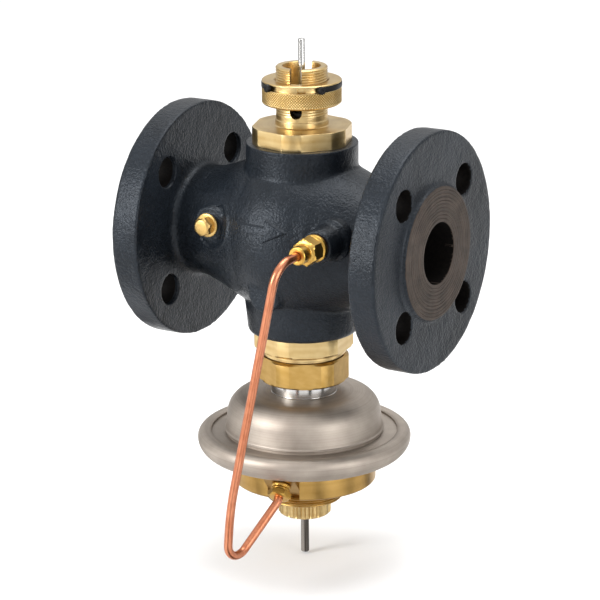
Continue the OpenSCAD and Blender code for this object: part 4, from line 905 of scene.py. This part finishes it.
# ---------------------------------------------------------------- floor and light
floor_look, floor_tree, floor_shader = finish("pale_studio_floor", "#F4F4F4", 0.0, 0.9)
floor_place = add(floor_tree, "ShaderNodeTexCoord")
floor_grain = add(floor_tree, "ShaderNodeTexNoise", {"Vector": (floor_place, "Object"), "Scale": 3.0})
two_tone(floor_tree, floor_shader, (floor_grain, "Fac"), 0.3, 0.7, "#F3F3F3", "#F6F6F6")
floor_mesh = bpy.data.meshes.new("floor")
floor_mesh.from_pydata([(-12, -12, FLOOR), (12, -12, FLOOR), (12, 12, FLOOR), (-12, 12, FLOOR)], [],
                       [(0, 1, 2, 3)])
floor = bpy.data.objects.new("floor", floor_mesh)
bpy.context.scene.collection.objects.link(floor)
floor.data.materials.append(floor_look)


def soft_light(name, place, target, width, height, power):
    """A white softbox, sizes in metres, turned to a point."""
    lamp = bpy.data.lights.new(name, "AREA")
    lamp.shape = "RECTANGLE"
    lamp.size, lamp.size_y = width, height
    lamp.energy = power
    made = bpy.data.objects.new(name, lamp)
    bpy.context.scene.collection.objects.link(made)
    made.location = place
    made.rotation_euler = (Vector(target) - Vector(place)).to_track_quat("-Z", "Y").to_euler()


def dark_card(name, bearing, near, far, wide):
    """A dark card on the floor, from near to far of the stem in metres, that widens with its distance. It
    is seen only in the mirror of the metal, which is flat and pale without it."""
    a = math.radians(bearing)
    ahead, beside = Vector((math.cos(a), math.sin(a), 0)), Vector((-math.sin(a), math.cos(a), 0))
    base = Vector((STEM * MM, 0, FLOOR + 0.002))
    corners = [tuple(base + ahead * d + beside * d * w) for d, w in ((near, -wide), (near, wide), (far, wide),
                                                                   (far, -wide))]
    mesh = bpy.data.meshes.new(name)
    mesh.from_pydata(corners, [], [(0, 1, 2, 3)])
    card = bpy.data.objects.new(name, mesh)
    bpy.context.scene.collection.objects.link(card)
    card.data.materials.append(card_look)
    card.visible_camera = card.visible_diffuse = card.visible_shadow = False


card_look, card_tree, card_shader = finish("black_flag_card", "#1A1A1A", 0.0, 0.9)
card_place = add(card_tree, "ShaderNodeTexCoord")
card_grain = add(card_tree, "ShaderNodeTexNoise", {"Vector": (card_place, "Object"), "Scale": 3.0})
two_tone(card_tree, card_shader, (card_grain, "Fac"), 0.3, 0.7, "#161616", "#1E1E1E")
for number, (bearing, spread) in enumerate(((-81, 5), (-38, 6), (9, 6), (51, 8), (-129, 5), (-192, 12))):
    dark_card(f"card_{number}", bearing, 0.05, 2.4, math.radians(spread))

centre = (STEM * MM, 0, -0.03)
soft_light("softbox_left", (-0.85, -1.7, 0.62), centre, 0.75, 1.25, 33)
soft_light("softbox_front", (1.9, -0.6, 0.25), centre, 1.0, 0.9, 12)
soft_light("softbox_top", (0.1, 0.3, 1.8), centre, 1.4, 1.4, 24)
world = bpy.data.worlds.new("studio")
world.use_nodes = True
sky = world.node_tree
height = add(sky, "ShaderNodeSeparateXYZ", {"Vector": (add(sky, "ShaderNodeTexCoord"), "Generated")})
glow = add(sky, "ShaderNodeMapRange", {"Value": (height, "Z"), "From Min": 0.0, "From Max": 0.45,
                                       "To Min": 0.36, "To Max": 0.95})
sky.links.new(glow.outputs["Result"], sky.nodes["Background"].inputs["Strength"])
sky.nodes["Background"].inputs["Color"].default_value = (1, 1, 1, 1)
bpy.context.scene.world = world
bpy.context.scene.view_settings.view_transform = "Standard"
